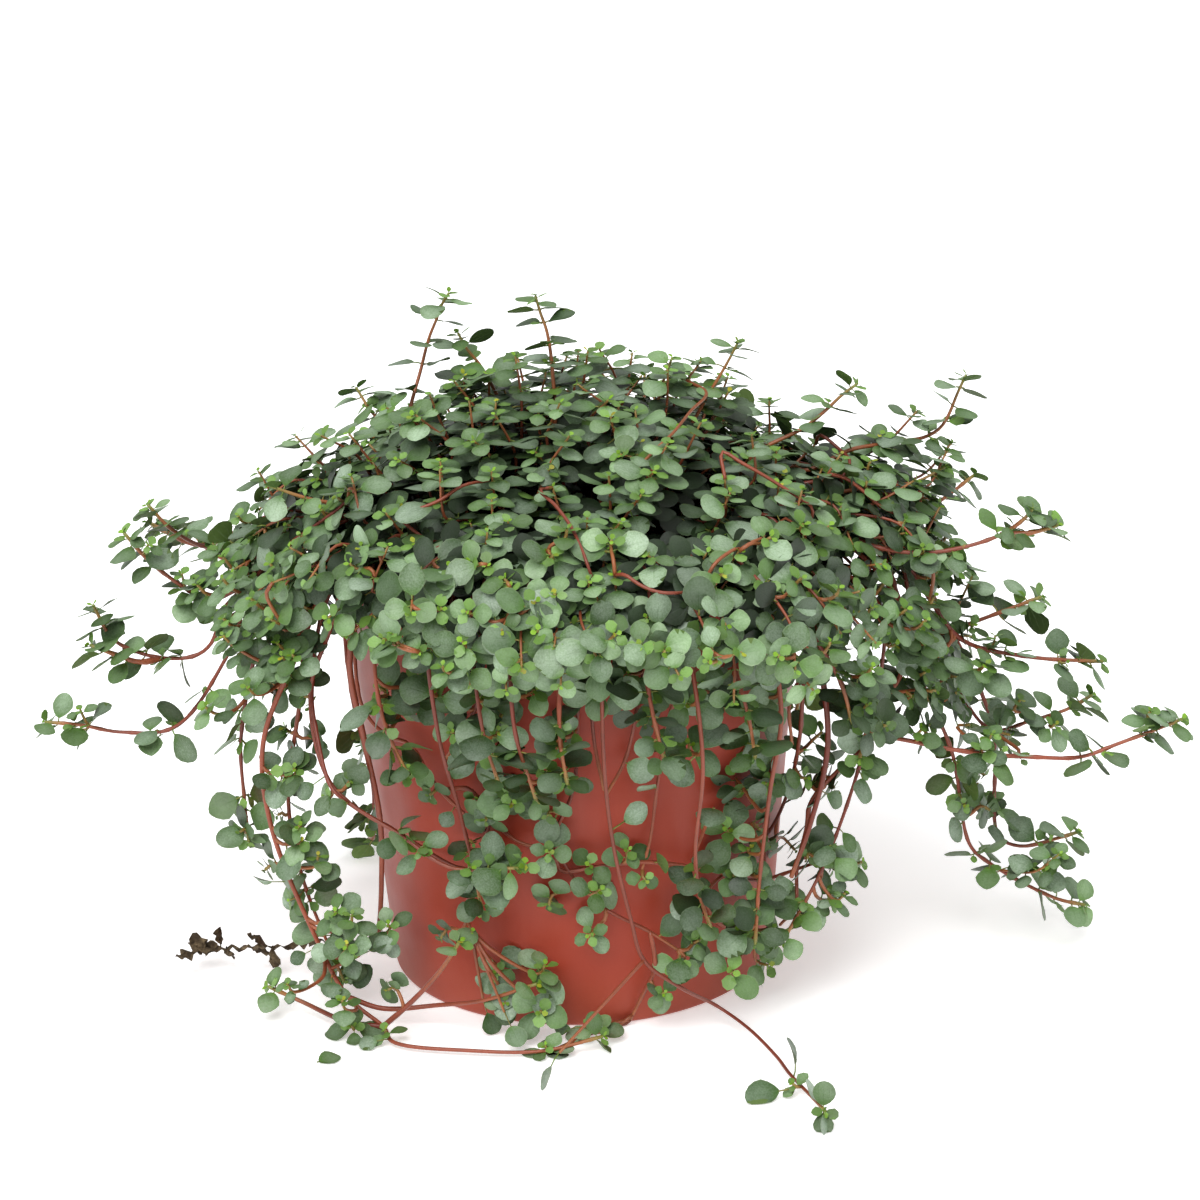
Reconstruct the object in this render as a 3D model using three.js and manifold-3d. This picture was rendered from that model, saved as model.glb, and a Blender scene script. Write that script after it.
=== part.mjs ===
// A silver-leaved trailing pilea in a plain 12 cm nursery pot, seen from -Y.
// Millimetres, +Z up. The origin is the centre of the pot's underside.

import * as THREE from 'three';
import { mergeVertices } from 'three/addons/utils/BufferGeometryUtils.js';
import Module from 'manifold-3d';

const wasm = await Module();
wasm.setup();

const pot = {
  height: 116,
  baseRadius: 49.8,
  shoulderRadius: 59.1,
  lipRadius: 60.4,
  lipDrop: 8,
  lipBevel: 0.8,
  wall: 1.3,
  floor: 2,
  footBevel: 1.2,
  drainCount: 4,
  drainRadius: 4,
  drainCircle: 33,
  drainSides: 8,
  sides: 36,
};

const soil = {
  level: 106,
  gap: 0.3, // to the pot's wall and floor
  stemHole: 2.8, // across a stem's square hole
  holeGap: 0.3, // below a root, and round the crown's neck
};

const crown = {
  neckRadius: 23,
  neckFoot: soil.level - 5,
  underside: 123, // the trailing stems pass below it, over the pot's lip
  rimRadius: 69,
  sides: 20,
  lumpDepth: 4.5, // of the core's uneven top
  rosettes: 42,
  shootMin: 8,
  shootMax: 15,
  rootDepth: 3,
  heart: 112, // height of the point that the shoots spread from
  skirtShare: 0.3, // of the shoots, those that look out and down from the rim
  skirtDroop: 0.45,
};

const stem = {
  radius: 0.95, // of its three-sided section
  step: 15,
  rootFoot: soil.level - 5,
  upright: 14.5, // the straight stretch above the foot
  innerRoot: 36,
  outerRoot: 46,
  crest: 119.3, // height at which it passes over the lip
  bareLength: 50, // from the root to the first leaves
};

const leaf = {
  length: 10.5, // from the stem to the tip, leaf stalk included
  upperLength: 8, // of the upper pair of a rosette
  thickness: 0.7,
  waist: 0.6, // from the stem's line to the notch between two leaves
  rosetteWaist: 1.3,
  widest: 0.4, // half-width over length
  bluntTip: 0.22,
  widestAt: 0.55,
  bluntAt: 0.92,
  lowRise: 0.15, // how steeply a pair, or the lower and upper leaves of a rosette, rise from the stem
  highRise: 0.6,
  spacing: 80, // between pairs
  clearance: 0.4,
  groundClearance: 0.3,
};

// Every trailing stem: the bearing (degrees, counterclockwise from +X) at which it leaves the pot, and the
// points [bearing, reach, height] that it passes after the lip. A branch starts on its parent's line.
const trailingStems = [
  {
    name: 'stem_left_1',
    bearing: 181,
    way: [
      [180, 84, 115], [178, 97, 114], [177, 106, 120], [176, 112, 124],
    ],
  },
  {
    name: 'stem_left_2',
    bearing: 186,
    way: [
      [185, 85, 106], [185, 95, 103], [183, 105, 111], [183, 117, 120],
    ],
  },
  {
    name: 'stem_left_3',
    bearing: 175,
    way: [
      [176, 87, 99], [175, 98, 84], [175, 112, 82], [175, 128, 94],
    ],
  },
  {
    name: 'stem_left_4',
    bearing: 192,
    way: [
      [190, 80, 112], [184, 88, 89], [183, 104, 69], [182, 119, 65], [182, 136, 71],
    ],
  },
  {
    name: 'stem_left_5',
    bearing: 199,
    way: [
      [197, 76, 112], [194, 82, 96], [193, 88, 69], [193, 88, 52], [195, 88, 42],
    ],
  },
  {
    name: 'stem_left_6',
    bearing: 205,
    way: [
      [204, 71, 114], [202, 75, 82], [201, 79, 55], [203, 77, 34], [210, 71, 8],
    ],
  },
  {
    name: 'stem_left_7',
    bearing: 211,
    way: [
      [210, 70, 117], [208, 76, 101], [204, 86, 74], [205, 86, 53], [210, 79, 24], [217, 75, 8],
      [225, 72, 2.2], [231, 76, 1.6], [246, 71, 1.6], [261, 67, 1.6], [274, 64, 4],
    ],
    branches: [
      [[225, 72, 2.2], [219, 77, 2.5], [208, 82, 4], [205, 89, 8]],
      [[217, 75, 8], [222, 69, 5], [232, 60, 6], [246, 61, 11], [259, 61, 17]],
      [[225, 72, 2.2], [231, 69, 10], [238, 67, 20], [243, 67, 29]],
    ],
  },
  {
    name: 'stem_left_8',
    bearing: 217,
    way: [
      [213, 72, 104], [208, 75, 86], [216, 76, 66], [232, 71, 56], [243, 70, 50], [257, 68, 51],
    ],
  },
  { name: 'stem_front_1', bearing: 228, way: [[229, 74, 104], [232, 76, 88], [236, 74, 74]] },
  {
    name: 'stem_front_2',
    bearing: 238,
    way: [
      [241, 73, 105], [243, 73, 84], [243, 65, 64], [244, 61, 48], [247, 63, 36],
    ],
  },
  { name: 'stem_front_3', bearing: 249, way: [[251, 74, 104], [253, 76, 88], [255, 73, 74]] },
  { name: 'stem_front_4', bearing: 258, way: [[258, 74, 106], [259, 77, 90], [262, 72, 70]] },
  { name: 'stem_front_5', bearing: 267, way: [[267, 73, 105], [267, 77, 88], [268, 75, 76]] },
  {
    name: 'stem_front_6',
    bearing: 276,
    way: [
      [275, 73, 104], [275, 72, 80], [277, 66, 57], [281, 63, 35], [284, 63, 23], [292, 65, 15],
      [298, 74, 10], [299, 86, 5], [300, 99, 2.4], [299, 110, 2.6], [298, 119, 5],
    ],
  },
  { name: 'stem_front_7', bearing: 284, way: [[283, 74, 104], [284, 78, 90], [286, 77, 80]] },
  {
    name: 'stem_front_8',
    bearing: 292,
    way: [
      [292, 75, 102], [293, 77, 78], [293, 72, 54], [295, 69, 41], [298, 68, 31],
    ],
  },
  { name: 'stem_front_9', bearing: 300, way: [[300, 75, 104], [301, 80, 90], [303, 79, 78]] },
  {
    name: 'stem_front_10',
    bearing: 309,
    way: [
      [310, 74, 104], [311, 76, 85], [311, 72, 65], [311, 68, 40], [308, 70, 24],
    ],
  },
  { name: 'stem_front_11', bearing: 318, way: [[319, 76, 105], [322, 82, 92], [324, 84, 80]] },
  {
    name: 'stem_right_1',
    bearing: 330,
    way: [
      [333, 79, 112], [336, 84, 103], [335, 81, 73], [327, 74, 40], [318, 68, 20],
    ],
  },
  {
    name: 'stem_right_2',
    bearing: 338,
    way: [
      [340, 87, 118], [343, 101, 117.5], [345, 113, 123], [346, 127, 122],
    ],
  },
  {
    name: 'stem_right_3',
    bearing: 344,
    way: [
      [344, 84, 104], [343, 89, 82], [344, 94, 67], [347, 105, 62], [349, 125, 60], [350, 140, 64],
      [351, 157, 70],
    ],
  },
  {
    name: 'stem_right_4',
    bearing: 350,
    way: [
      [351, 84, 111], [352, 92, 99], [353, 100, 88], [354, 117, 83], [355, 136, 81],
    ],
  },
  {
    name: 'stem_right_5',
    bearing: 355,
    way: [
      [356, 82, 112], [355, 92, 88], [355, 97, 65], [356, 102, 33], [356, 113, 22], [357, 135, 12],
    ],
  },
  {
    name: 'stem_right_6',
    bearing: 1,
    way: [
      [1, 79, 110], [1, 86, 92], [1, 95, 85], [1, 104, 88], [0, 121, 95],
    ],
  },
  {
    name: 'stem_right_7',
    bearing: 6,
    way: [
      [6, 82, 110], [5, 91, 90], [4, 98, 72], [3, 110, 62], [2, 128, 59], [2, 142, 65],
    ],
  },
  {
    name: 'stem_right_8',
    bearing: 13,
    way: [
      [13, 86, 108], [12, 100, 84], [11, 109, 65], [11, 112, 45], [10, 114, 26], [9, 124, 21],
      [8, 138, 24],
    ],
  },
  { name: 'stem_back_1', bearing: 23, way: [[23, 86, 114], [23, 104, 108], [24, 120, 114]] },
  { name: 'stem_back_2', bearing: 36, way: [[36, 82, 104], [37, 88, 84], [40, 85, 60], [42, 82, 44]] },
  {
    name: 'stem_back_3',
    bearing: 49,
    way: [
      [49, 84, 112], [49, 96, 96], [48, 111, 90], [48, 124, 97],
    ],
  },
  {
    name: 'stem_back_4',
    bearing: 62,
    way: [
      [62, 77, 106], [63, 80, 84], [65, 76, 60], [69, 72, 36], [75, 76, 12], [81, 84, 2.8],
      [88, 95, 2.8],
    ],
  },
  { name: 'stem_back_5', bearing: 75, way: [[75, 84, 114], [76, 100, 110], [76, 115, 117]] },
  {
    name: 'stem_back_6',
    bearing: 88,
    way: [
      [88, 82, 110], [89, 93, 90], [90, 104, 78], [90, 118, 82],
    ],
  },
  {
    name: 'stem_back_7',
    bearing: 101,
    way: [
      [101, 77, 106], [102, 79, 84], [103, 75, 60], [102, 71, 42],
    ],
  },
  { name: 'stem_back_8', bearing: 114, way: [[114, 85, 114], [114, 101, 106], [113, 116, 110]] },
  { name: 'stem_back_9', bearing: 127, way: [[127, 79, 105], [128, 84, 86], [131, 82, 68]] },
  {
    name: 'stem_back_10',
    bearing: 140,
    way: [
      [140, 78, 105], [141, 81, 80], [142, 78, 54], [139, 76, 30], [135, 82, 10], [130, 94, 3],
    ],
  },
  {
    name: 'stem_back_11',
    bearing: 152,
    way: [
      [152, 84, 112], [151, 97, 98], [150, 112, 94], [149, 124, 101],
    ],
  },
  { name: 'stem_back_12', bearing: 164, way: [[164, 86, 114], [164, 102, 106], [163, 118, 111]] },
];

// Runners that have dropped their leaves.
const bareRunners = [
  {
    name: 'runner_left',
    bearing: 222,
    way: [
      [221, 73, 100], [220, 69, 78], [221, 66, 56], [218, 64, 36], [214, 63, 18],
    ],
  },
  {
    name: 'runner_right',
    bearing: 324,
    way: [
      [325, 73, 98], [325, 76, 72], [321, 74, 52], [316, 73, 40],
    ],
  },
];

// A dry, brown shoot that has died at the lower left, beside the end of a leafy stem.
const witheredShoot = {
  line: [
    [206.8, 73, 13.6], [203, 71, 13.8], [197, 69, 12.6], [192, 76, 9.6], [189, 85, 8.2], [186, 103, 6.3],
  ],
  leafLength: 5.5,
  leafShares: [0.55, 0.78],
};

// Upright and outward shoots that leave the crown above the lip, from inside its core to their tips.
const crownShoots = [
  [[180, 4, 143], [160, 4, 160], [143, 7, 172], [147, 9, 177]],
  [[180, 39, 137], [175, 37, 153], [172, 35, 166], [165, 30, 176]],
  [[0, 31, 138], [3, 37, 152], [5, 44, 163]],
  [[6, 57, 129], [6, 74, 129], [6, 86, 131], [6, 96, 140], [6, 103, 151]],
  [[72, 50, 132], [72, 64, 146], [74, 73, 157]],
  [[130, 50, 132], [132, 66, 138], [132, 78, 142], [131, 88, 151]],
  [[200, 55, 129], [199, 70, 134], [198, 82, 138], [197, 92, 144]],
];

const colours = {
  pot: 0xa9492f,
  soil: 0x3a2a1e,
  foliage: 0x6f8a72,
  stem: 0x8a4a35,
  dry: 0x4a382c,
};

// A small seeded generator, so that each build draws the same plant.
function seededRandom(seed) {
  let state = seed;
  return () => {
    state = (state + 0x6d2b79f5) | 0;
    let mixed = Math.imul(state ^ (state >>> 15), 1 | state);
    mixed = (mixed + Math.imul(mixed ^ (mixed >>> 7), 61 | mixed)) ^ mixed;
    return ((mixed ^ (mixed >>> 14)) >>> 0) / 4294967296;
  };
}

const random = seededRandom(12);

function spread(low, high) {
  return low + (high - low) * random();
}

function polar([bearing, reach, height]) {
  const angle = THREE.MathUtils.degToRad(bearing);
  return new THREE.Vector3(reach * Math.cos(angle), reach * Math.sin(angle), height);
}

// Makes a solid of a closed three.js geometry.
function solidOf(geometry) {
  const plain = geometry.index ? geometry.toNonIndexed() : geometry.clone();
  plain.deleteAttribute('normal');
  plain.deleteAttribute('uv');
  const merged = mergeVertices(plain, 1e-4);
  return new wasm.Manifold(new wasm.Mesh({
    numProp: 3,
    vertProperties: Float32Array.from(merged.attributes.position.array),
    triVerts: Uint32Array.from(merged.index.array),
  }));
}

function geometryOf(solid) {
  const mesh = solid.getMesh();
  const geometry = new THREE.BufferGeometry();
  geometry.setAttribute('position', new THREE.BufferAttribute(mesh.vertProperties, 3));
  geometry.setIndex(new THREE.BufferAttribute(mesh.triVerts, 1));
  geometry.computeVertexNormals();
  return geometry;
}

// Turns a profile of [radius, height] about the Z axis; it starts and ends on the axis.
function turned(profile, sides) {
  const points = profile.map(([radius, height]) => new THREE.Vector2(radius, height));
  const geometry = new THREE.LatheGeometry(points, sides);
  geometry.rotateX(Math.PI / 2);
  return geometry;
}

// A prism along Z with flat sides, standing at a place.
function prism(radius, foot, height, sides, place) {
  const geometry = new THREE.CylinderGeometry(radius, radius, height, sides);
  geometry.rotateX(Math.PI / 2);
  geometry.translate(place.x, place.y, foot + height / 2);
  return geometry;
}

const shoulderHeight = pot.height - pot.lipDrop;

function outerRadius(height) {
  return THREE.MathUtils.mapLinear(height, 0, shoulderHeight, pot.baseRadius, pot.shoulderRadius);
}

function innerRadius(height) {
  const lower = outerRadius(pot.floor) - pot.wall;
  return THREE.MathUtils.mapLinear(height, pot.floor, pot.height, lower, pot.shoulderRadius - pot.wall);
}

function buildPot() {
  const profile = [
    [0, 0],
    [pot.baseRadius - pot.footBevel, 0],
    [outerRadius(pot.footBevel), pot.footBevel],
    [pot.shoulderRadius, shoulderHeight],
    [pot.lipRadius, shoulderHeight + pot.lipBevel],
    [pot.lipRadius, pot.height - pot.lipBevel],
    [pot.lipRadius - pot.lipBevel, pot.height],
    [innerRadius(pot.height), pot.height],
    [innerRadius(pot.floor), pot.floor],
    [0, pot.floor],
  ];
  let shell = solidOf(turned(profile, pot.sides));
  for (let k = 0; k < pot.drainCount; k += 1) {
    const place = polar([(k * 360) / pot.drainCount + 45, pot.drainCircle, 0]);
    shell = shell.subtract(solidOf(prism(pot.drainRadius, -1, pot.floor + 2, pot.drainSides, place)));
  }
  return shell;
}

function buildSoil(roots) {
  const foot = pot.floor + soil.gap;
  const profile = [
    [0, foot],
    [innerRadius(foot) - soil.gap, foot],
    [innerRadius(soil.level) - soil.gap, soil.level],
    [0, soil.level],
  ];
  let plug = solidOf(turned(profile, pot.sides));
  const neckHole = crown.neckRadius + soil.holeGap;
  const neckFoot = crown.neckFoot - soil.holeGap;
  const axis = new THREE.Vector3();
  plug = plug.subtract(solidOf(prism(neckHole, neckFoot, soil.level + 1 - neckFoot, crown.sides, axis)));
  const holeFoot = stem.rootFoot - soil.holeGap;
  for (const root of roots) {
    const hole = prism(soil.stemHole / Math.SQRT2, holeFoot, soil.level + 1 - holeFoot, 4, root);
    plug = plug.subtract(solidOf(hole));
  }
  return plug;
}

// A three-sided stem along a smooth curve through its points.
function sweep(points, radius) {
  const curve = new THREE.CatmullRomCurve3(points, false, 'centripetal');
  const section = new THREE.Shape();
  for (let k = 0; k < 3; k += 1) {
    const angle = (k * 2 * Math.PI) / 3;
    const corner = [radius * Math.cos(angle), radius * Math.sin(angle)];
    if (k === 0) section.moveTo(...corner);
    else section.lineTo(...corner);
  }
  const steps = Math.max(1, Math.round(curve.getLength() / stem.step));
  const geometry = new THREE.ExtrudeGeometry(section, { steps, extrudePath: curve });
  return { curve, solid: solidOf(geometry) };
}

// A pair or a rosette of leaves as one thin plate with a notch between each two leaves. Its centre lies in
// the stem, X runs along the first leaf and Z is the upper side. Each blade rises as it leaves the stem. A
// margin makes the plate larger all round, to test the room about it.
function leafPlate(leaves, waist, margin = 0) {
  const step = (2 * Math.PI) / leaves.length;
  const outline = leaves.flatMap(({ length }, k) => {
    const size = length + margin;
    const wide = leaf.widest * length + margin;
    const blunt = leaf.bluntTip * length + margin;
    const blade = [
      [leaf.widestAt * size, -wide],
      [leaf.bluntAt * size, -blunt],
      [leaf.bluntAt * size, blunt],
      [leaf.widestAt * size, wide],
    ].map(([x, y]) => new THREE.Vector2(x, y).rotateAround(new THREE.Vector2(), k * step));
    const notch = new THREE.Vector2(waist + margin, 0).rotateAround(new THREE.Vector2(), (k - 0.5) * step);
    return [notch, ...blade];
  });
  const thickness = leaf.thickness + 2 * margin;
  const settings = { depth: thickness, bevelEnabled: false };
  const geometry = new THREE.ExtrudeGeometry(new THREE.Shape(outline), settings);
  const position = geometry.attributes.position;
  for (let k = 0; k < position.count; k += 1) {
    const angle = Math.atan2(position.getY(k), position.getX(k));
    const reach = Math.hypot(position.getX(k), position.getY(k));
    const nearest = (Math.round(angle / step) + leaves.length) % leaves.length;
    const along = reach > waist + margin + 0.1 ? reach * Math.cos(angle - nearest * step) : 0;
    position.setZ(k, position.getZ(k) - thickness / 2 + leaves[nearest].rise * along);
  }
  return geometry;
}

// The turn that lays a leaf's length along an axis and its upper side as near as it can towards a direction.
function facing(centre, axis, towards) {
  const along = axis.clone().normalize();
  const up = towards.clone().addScaledVector(along, -towards.dot(along)).normalize();
  const across = new THREE.Vector3().crossVectors(up, along);
  return new THREE.Matrix4().makeBasis(along, across, up).setPosition(centre);
}

function boxesMeet(a, b) {
  return [0, 1, 2].every((k) => a.min[k] <= b.max[k] && b.min[k] <= a.max[k]);
}

function piece(solid, kind) {
  return { solid, kind, box: solid.boundingBox() };
}

function meets(candidate, others) {
  return others.some((other) => boxesMeet(candidate.box, other.box)
    && !candidate.solid.intersect(other.solid).isEmpty());
}

const bodies = [];

function newBody(name, slot) {
  const body = { name, slot, pieces: [] };
  bodies.push(body);
  return body;
}

// Whether a piece stays clear of the ground, of all other bodies and of the leaves of its own.
function isClear(candidate, own) {
  if (candidate.box.min[2] < leaf.groundClearance) return false;
  return !bodies.some((body) => {
    const ownLeaves = body.pieces.filter((other) => other.kind === 'leaf');
    return meets(candidate, body === own ? ownLeaves : body.pieces);
  });
}

// Adds a plate of leaves where placeAt puts it, turned or made smaller until it clears its neighbours.
function addPlate(own, leaves, waist, placeAt) {
  for (const scale of [1, 0.85, 0.7]) {
    const scaled = leaves.map(({ length, rise }) => ({ length: length * scale, rise }));
    for (const turn of [0, 0.35, -0.35, 0.75, -0.75]) {
      const place = placeAt(turn);
      const guard = piece(solidOf(leafPlate(scaled, waist, leaf.clearance).applyMatrix4(place)), 'leaf');
      if (isClear(guard, own)) {
        own.pieces.push(piece(solidOf(leafPlate(scaled, waist).applyMatrix4(place)), 'leaf'));
        return;
      }
    }
  }
}

// Places an opposite pair across a stem, its upper side towards the light.
function addPair(own, curve, distance, length, angle) {
  const share = distance / curve.getLength();
  const tangent = curve.getTangentAt(share);
  const centre = curve.getPointAt(share);
  const away = new THREE.Vector3(centre.x, centre.y, 0).normalize();
  const sideways = new THREE.Vector3(-away.y, away.x, 0);
  sideways.addScaledVector(tangent, -sideways.dot(tangent)).normalize();
  const outward = new THREE.Vector3().crossVectors(sideways, tangent).normalize();
  const light = new THREE.Vector3(0, 0, 0.7).addScaledVector(away, 0.5).addScaledVector(tangent, 0.6);
  const leaves = [{ length, rise: leaf.lowRise }, { length, rise: leaf.lowRise }];
  addPlate(own, leaves, leaf.waist, (turn) => {
    const axis = sideways.clone().multiplyScalar(Math.cos(angle + turn));
    return facing(centre, axis.addScaledVector(outward, Math.sin(angle + turn)), light);
  });
}

// Places a rosette on a stem's end: two leaves, and two smaller and steeper ones across them.
function addRosette(own, curve, size) {
  const tangent = curve.getTangentAt(1);
  const centre = curve.getPointAt(1).addScaledVector(tangent, -leaf.thickness / 2);
  const lift = centre.z < 2 * leaf.length ? 2 : 0.3; // near the ground a rosette lies level
  const upper = tangent.clone().add(new THREE.Vector3(0, 0, lift)).normalize();
  const side = new THREE.Vector3().crossVectors(upper, new THREE.Vector3(0.1, 0.2, 1)).normalize();
  const lowLeaf = { length: leaf.length * size, rise: leaf.lowRise + spread(-0.1, 0.1) };
  const highLeaf = { length: leaf.upperLength * size, rise: leaf.highRise + spread(-0.15, 0.15) };
  const whirl = spread(0, Math.PI);
  addPlate(own, [lowLeaf, highLeaf, lowLeaf, highLeaf], leaf.rosetteWaist, (turn) => {
    return facing(centre, side.clone().applyAxisAngle(upper, whirl + turn), upper);
  });
}

// The leaves of a long stem: pairs, each turned a quarter from the last, and a rosette on its end.
function addLeaves(own, curve, start, tipSize) {
  addRosette(own, curve, tipSize);
  const room = curve.getLength() - start - leaf.length;
  const count = Math.max(0, Math.round(room / leaf.spacing));
  const whirl = spread(-0.4, 0.4);
  for (let k = 0; k < count; k += 1) {
    const distance = start + ((k + spread(0.1, 0.4)) * room) / count;
    const size = THREE.MathUtils.lerp(1, tipSize, k / count) * spread(0.92, 1.08);
    addPair(own, curve, distance, leaf.length * size, whirl + (k * Math.PI) / 2);
  }
}

// The crown's smaller core: a neck in the soil that flares over the pot's lip into an uneven, lumpy dome.
function buildCore() {
  const profile = [
    [0, crown.neckFoot],
    [crown.neckRadius, crown.neckFoot],
    [crown.neckRadius, 110],
    [crown.neckRadius + 14, crown.underside - 2],
    [crown.rimRadius - 14, crown.underside],
    [crown.rimRadius - 2, crown.underside + 0.5],
    ...coreTop,
  ];
  const geometry = turned(profile, crown.sides);
  const position = geometry.attributes.position;
  for (let k = 0; k < position.count; k += 1) {
    const height = position.getZ(k);
    const reach = Math.hypot(position.getX(k), position.getY(k));
    if (height <= crown.underside + 0.5 || reach < 1) continue;
    const angle = Math.round(THREE.MathUtils.radToDeg(Math.atan2(position.getY(k), position.getX(k))));
    const lump = Math.sin(angle * 2.3 * reach) * crown.lumpDepth;
    position.setZ(k, height + Math.max(-1, lump));
  }
  return solidOf(geometry);
}

// The dome's outline above its rim, as [radius, height].
const coreTop = [
  [crown.rimRadius, crown.underside + 4],
  [58, 134],
  [42, 141],
  [22, 146.5],
  [0, 149],
];

// A point on the dome at a share of the way from its rim to its top, evenly spread over its area.
function onDome(share, bearing) {
  const reach = crown.rimRadius * Math.sqrt(1 - share);
  let k = 0;
  while (k < coreTop.length - 2 && coreTop[k + 1][0] > reach) k += 1;
  const [r0, z0] = coreTop[k];
  const [r1, z1] = coreTop[k + 1];
  return polar([bearing, reach, THREE.MathUtils.mapLinear(reach, r0, r1, z0, z1)]);
}

// A short straight shoot out of the core with a rosette on its end.
function addCrownShoot(own, point, direction, length) {
  const start = point.clone().addScaledVector(direction, -crown.rootDepth);
  const { curve, solid } = sweep([start, point.clone().addScaledVector(direction, length)], stem.radius);
  const stalk = piece(solid, 'stalk');
  if (!isClear(stalk, own)) return;
  own.pieces.push(stalk);
  addRosette(own, curve, spread(0.92, 1.1));
}

// Fuses a body's pieces and keeps its one whole solid: loose scraps and sealed hollows are left out.
function fuse(body) {
  let whole = body.pieces[0].solid;
  for (const next of body.pieces.slice(1)) whole = whole.add(next.solid);
  const parts = whole.decompose();
  return parts.reduce((largest, part) => (part.volume() > largest.volume() ? part : largest));
}

function rootOf(plan, index) {
  const reach = index % 2 === 0 ? stem.outerRoot : stem.innerRoot;
  return { bearing: plan.bearing, reach };
}

// The line of a trailing stem: up out of its hole, over the lip below the crown's skirt and along its way.
function trailingLine(plan, index) {
  const { bearing, reach } = rootOf(plan, index);
  return [
    [bearing, reach, stem.rootFoot],
    [bearing, reach, stem.rootFoot + stem.upright],
    [bearing, reach + 6, stem.crest - 1],
    [bearing, 59, stem.crest],
    [bearing, 68, stem.crest],
    ...plan.way,
  ].map(polar);
}

const rooted = [...trailingStems, ...bareRunners].sort((a, b) => a.bearing - b.bearing);
const roots = rooted.map((plan, index) => {
  const { bearing, reach } = rootOf(plan, index);
  return polar([bearing, reach, 0]);
});

newBody('pot', 'pot').pieces.push(piece(buildPot(), 'pot'));
newBody('soil', 'soil').pieces.push(piece(buildSoil(roots), 'soil'));

const stemBodies = rooted.map((plan, index) => {
  const bare = bareRunners.includes(plan);
  const body = newBody(plan.name, bare ? 'stem' : 'foliage');
  const lines = [trailingLine(plan, index), ...(plan.branches ?? []).map((branch) => branch.map(polar))];
  const curves = lines.map((points) => {
    const { curve, solid } = sweep(points, stem.radius);
    body.pieces.push(piece(solid, 'stem'));
    return curve;
  });
  return { body, curves, bare };
});

const crownBody = newBody('crown', 'foliage');
crownBody.pieces.push(piece(buildCore(), 'core'));
for (const shoot of crownShoots) {
  const { curve, solid } = sweep(shoot.map(polar), stem.radius);
  crownBody.pieces.push(piece(solid, 'stalk'));
  addLeaves(crownBody, curve, Math.max(leaf.length, curve.getLength() - leaf.spacing), 0.8);
}
const goldenAngle = 137.508;
for (let k = 0; k < crown.rosettes; k += 1) {
  const share = Math.max(0.01, (k + 0.5) / crown.rosettes - crown.skirtShare) / (1 - crown.skirtShare);
  const point = onDome(share, k * goldenAngle);
  const direction = point.clone().setZ(point.z - crown.heart).normalize();
  if (k < crown.skirtShare * crown.rosettes) direction.z -= crown.skirtDroop;
  direction.add(new THREE.Vector3(spread(-0.15, 0.15), spread(-0.15, 0.15), spread(-0.1, 0.2))).normalize();
  addCrownShoot(crownBody, point, direction, spread(crown.shootMin, crown.shootMax));
}

for (const { body, curves, bare } of stemBodies) {
  if (bare) continue;
  curves.forEach((curve, k) => addLeaves(body, curve, k === 0 ? stem.bareLength : leaf.length, 0.72));
}

const withered = newBody('withered_shoot', 'dry');
const dryStalk = sweep(witheredShoot.line.map(polar), stem.radius * 0.8);
withered.pieces.push(piece(dryStalk.solid, 'stem'));
for (const share of witheredShoot.leafShares) {
  addPair(withered, dryStalk.curve, share * dryStalk.curve.getLength(), witheredShoot.leafLength, 0.6);
}

const plant = new THREE.Group();
for (const body of bodies) {
  const material = new THREE.MeshStandardMaterial({ color: colours[body.slot], roughness: 0.6 });
  const mesh = new THREE.Mesh(geometryOf(fuse(body)), material);
  mesh.name = body.name;
  plant.add(mesh);
}

export default plant;
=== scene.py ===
import bpy
import numpy as np
from mathutils import Matrix


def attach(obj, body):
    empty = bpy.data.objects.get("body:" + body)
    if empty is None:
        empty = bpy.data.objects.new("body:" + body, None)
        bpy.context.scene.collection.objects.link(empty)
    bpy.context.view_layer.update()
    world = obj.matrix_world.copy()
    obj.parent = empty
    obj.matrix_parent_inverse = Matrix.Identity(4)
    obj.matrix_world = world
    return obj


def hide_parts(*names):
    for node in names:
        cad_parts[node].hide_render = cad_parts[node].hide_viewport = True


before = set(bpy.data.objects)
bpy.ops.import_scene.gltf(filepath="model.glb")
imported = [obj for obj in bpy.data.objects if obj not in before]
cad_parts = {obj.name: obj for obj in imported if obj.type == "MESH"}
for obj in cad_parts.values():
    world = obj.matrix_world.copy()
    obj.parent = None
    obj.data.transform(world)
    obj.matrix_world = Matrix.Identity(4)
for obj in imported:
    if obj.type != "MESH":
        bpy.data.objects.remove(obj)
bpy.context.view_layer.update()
rng = np.random.default_rng(12)
metre = 0.001  # the script works in millimetres
print("frame loaded:", len(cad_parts), "solids")

pot = {
    "height": 116.0,
    "baseRadius": 49.8,
    "shoulderRadius": 59.1,
    "lipRadius": 60.4,
    "lipDrop": 8.0,
    "lipStep": 0.8,  # height over which the wall widens to the lip
    "lipRound": 0.8,
    "footRound": 1.6,
    "baseRings": [20, 40],  # reaches of the rings on its flat base
    "wall": 1.3,
    "floor": 2.0,
    "drainRadius": 4.0,
    "drainCircle": 33.0,
    "sides": 160,
}

# The photo's viewpoint in millimetres. It sets the camera, and tells the place of what was noted on it.
photoView = {
    "place": [0.0, -841.7, 378.8],
    "forward": [0.00774, 0.94834, -0.31716],
    "right": [0.99962, -0.01568, -0.02251],
    "up": [0.02632, 0.31687, 0.9481],
    "lens": 103.11,
    "film": 36.0,
    "pixels": 1200,
}

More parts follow.
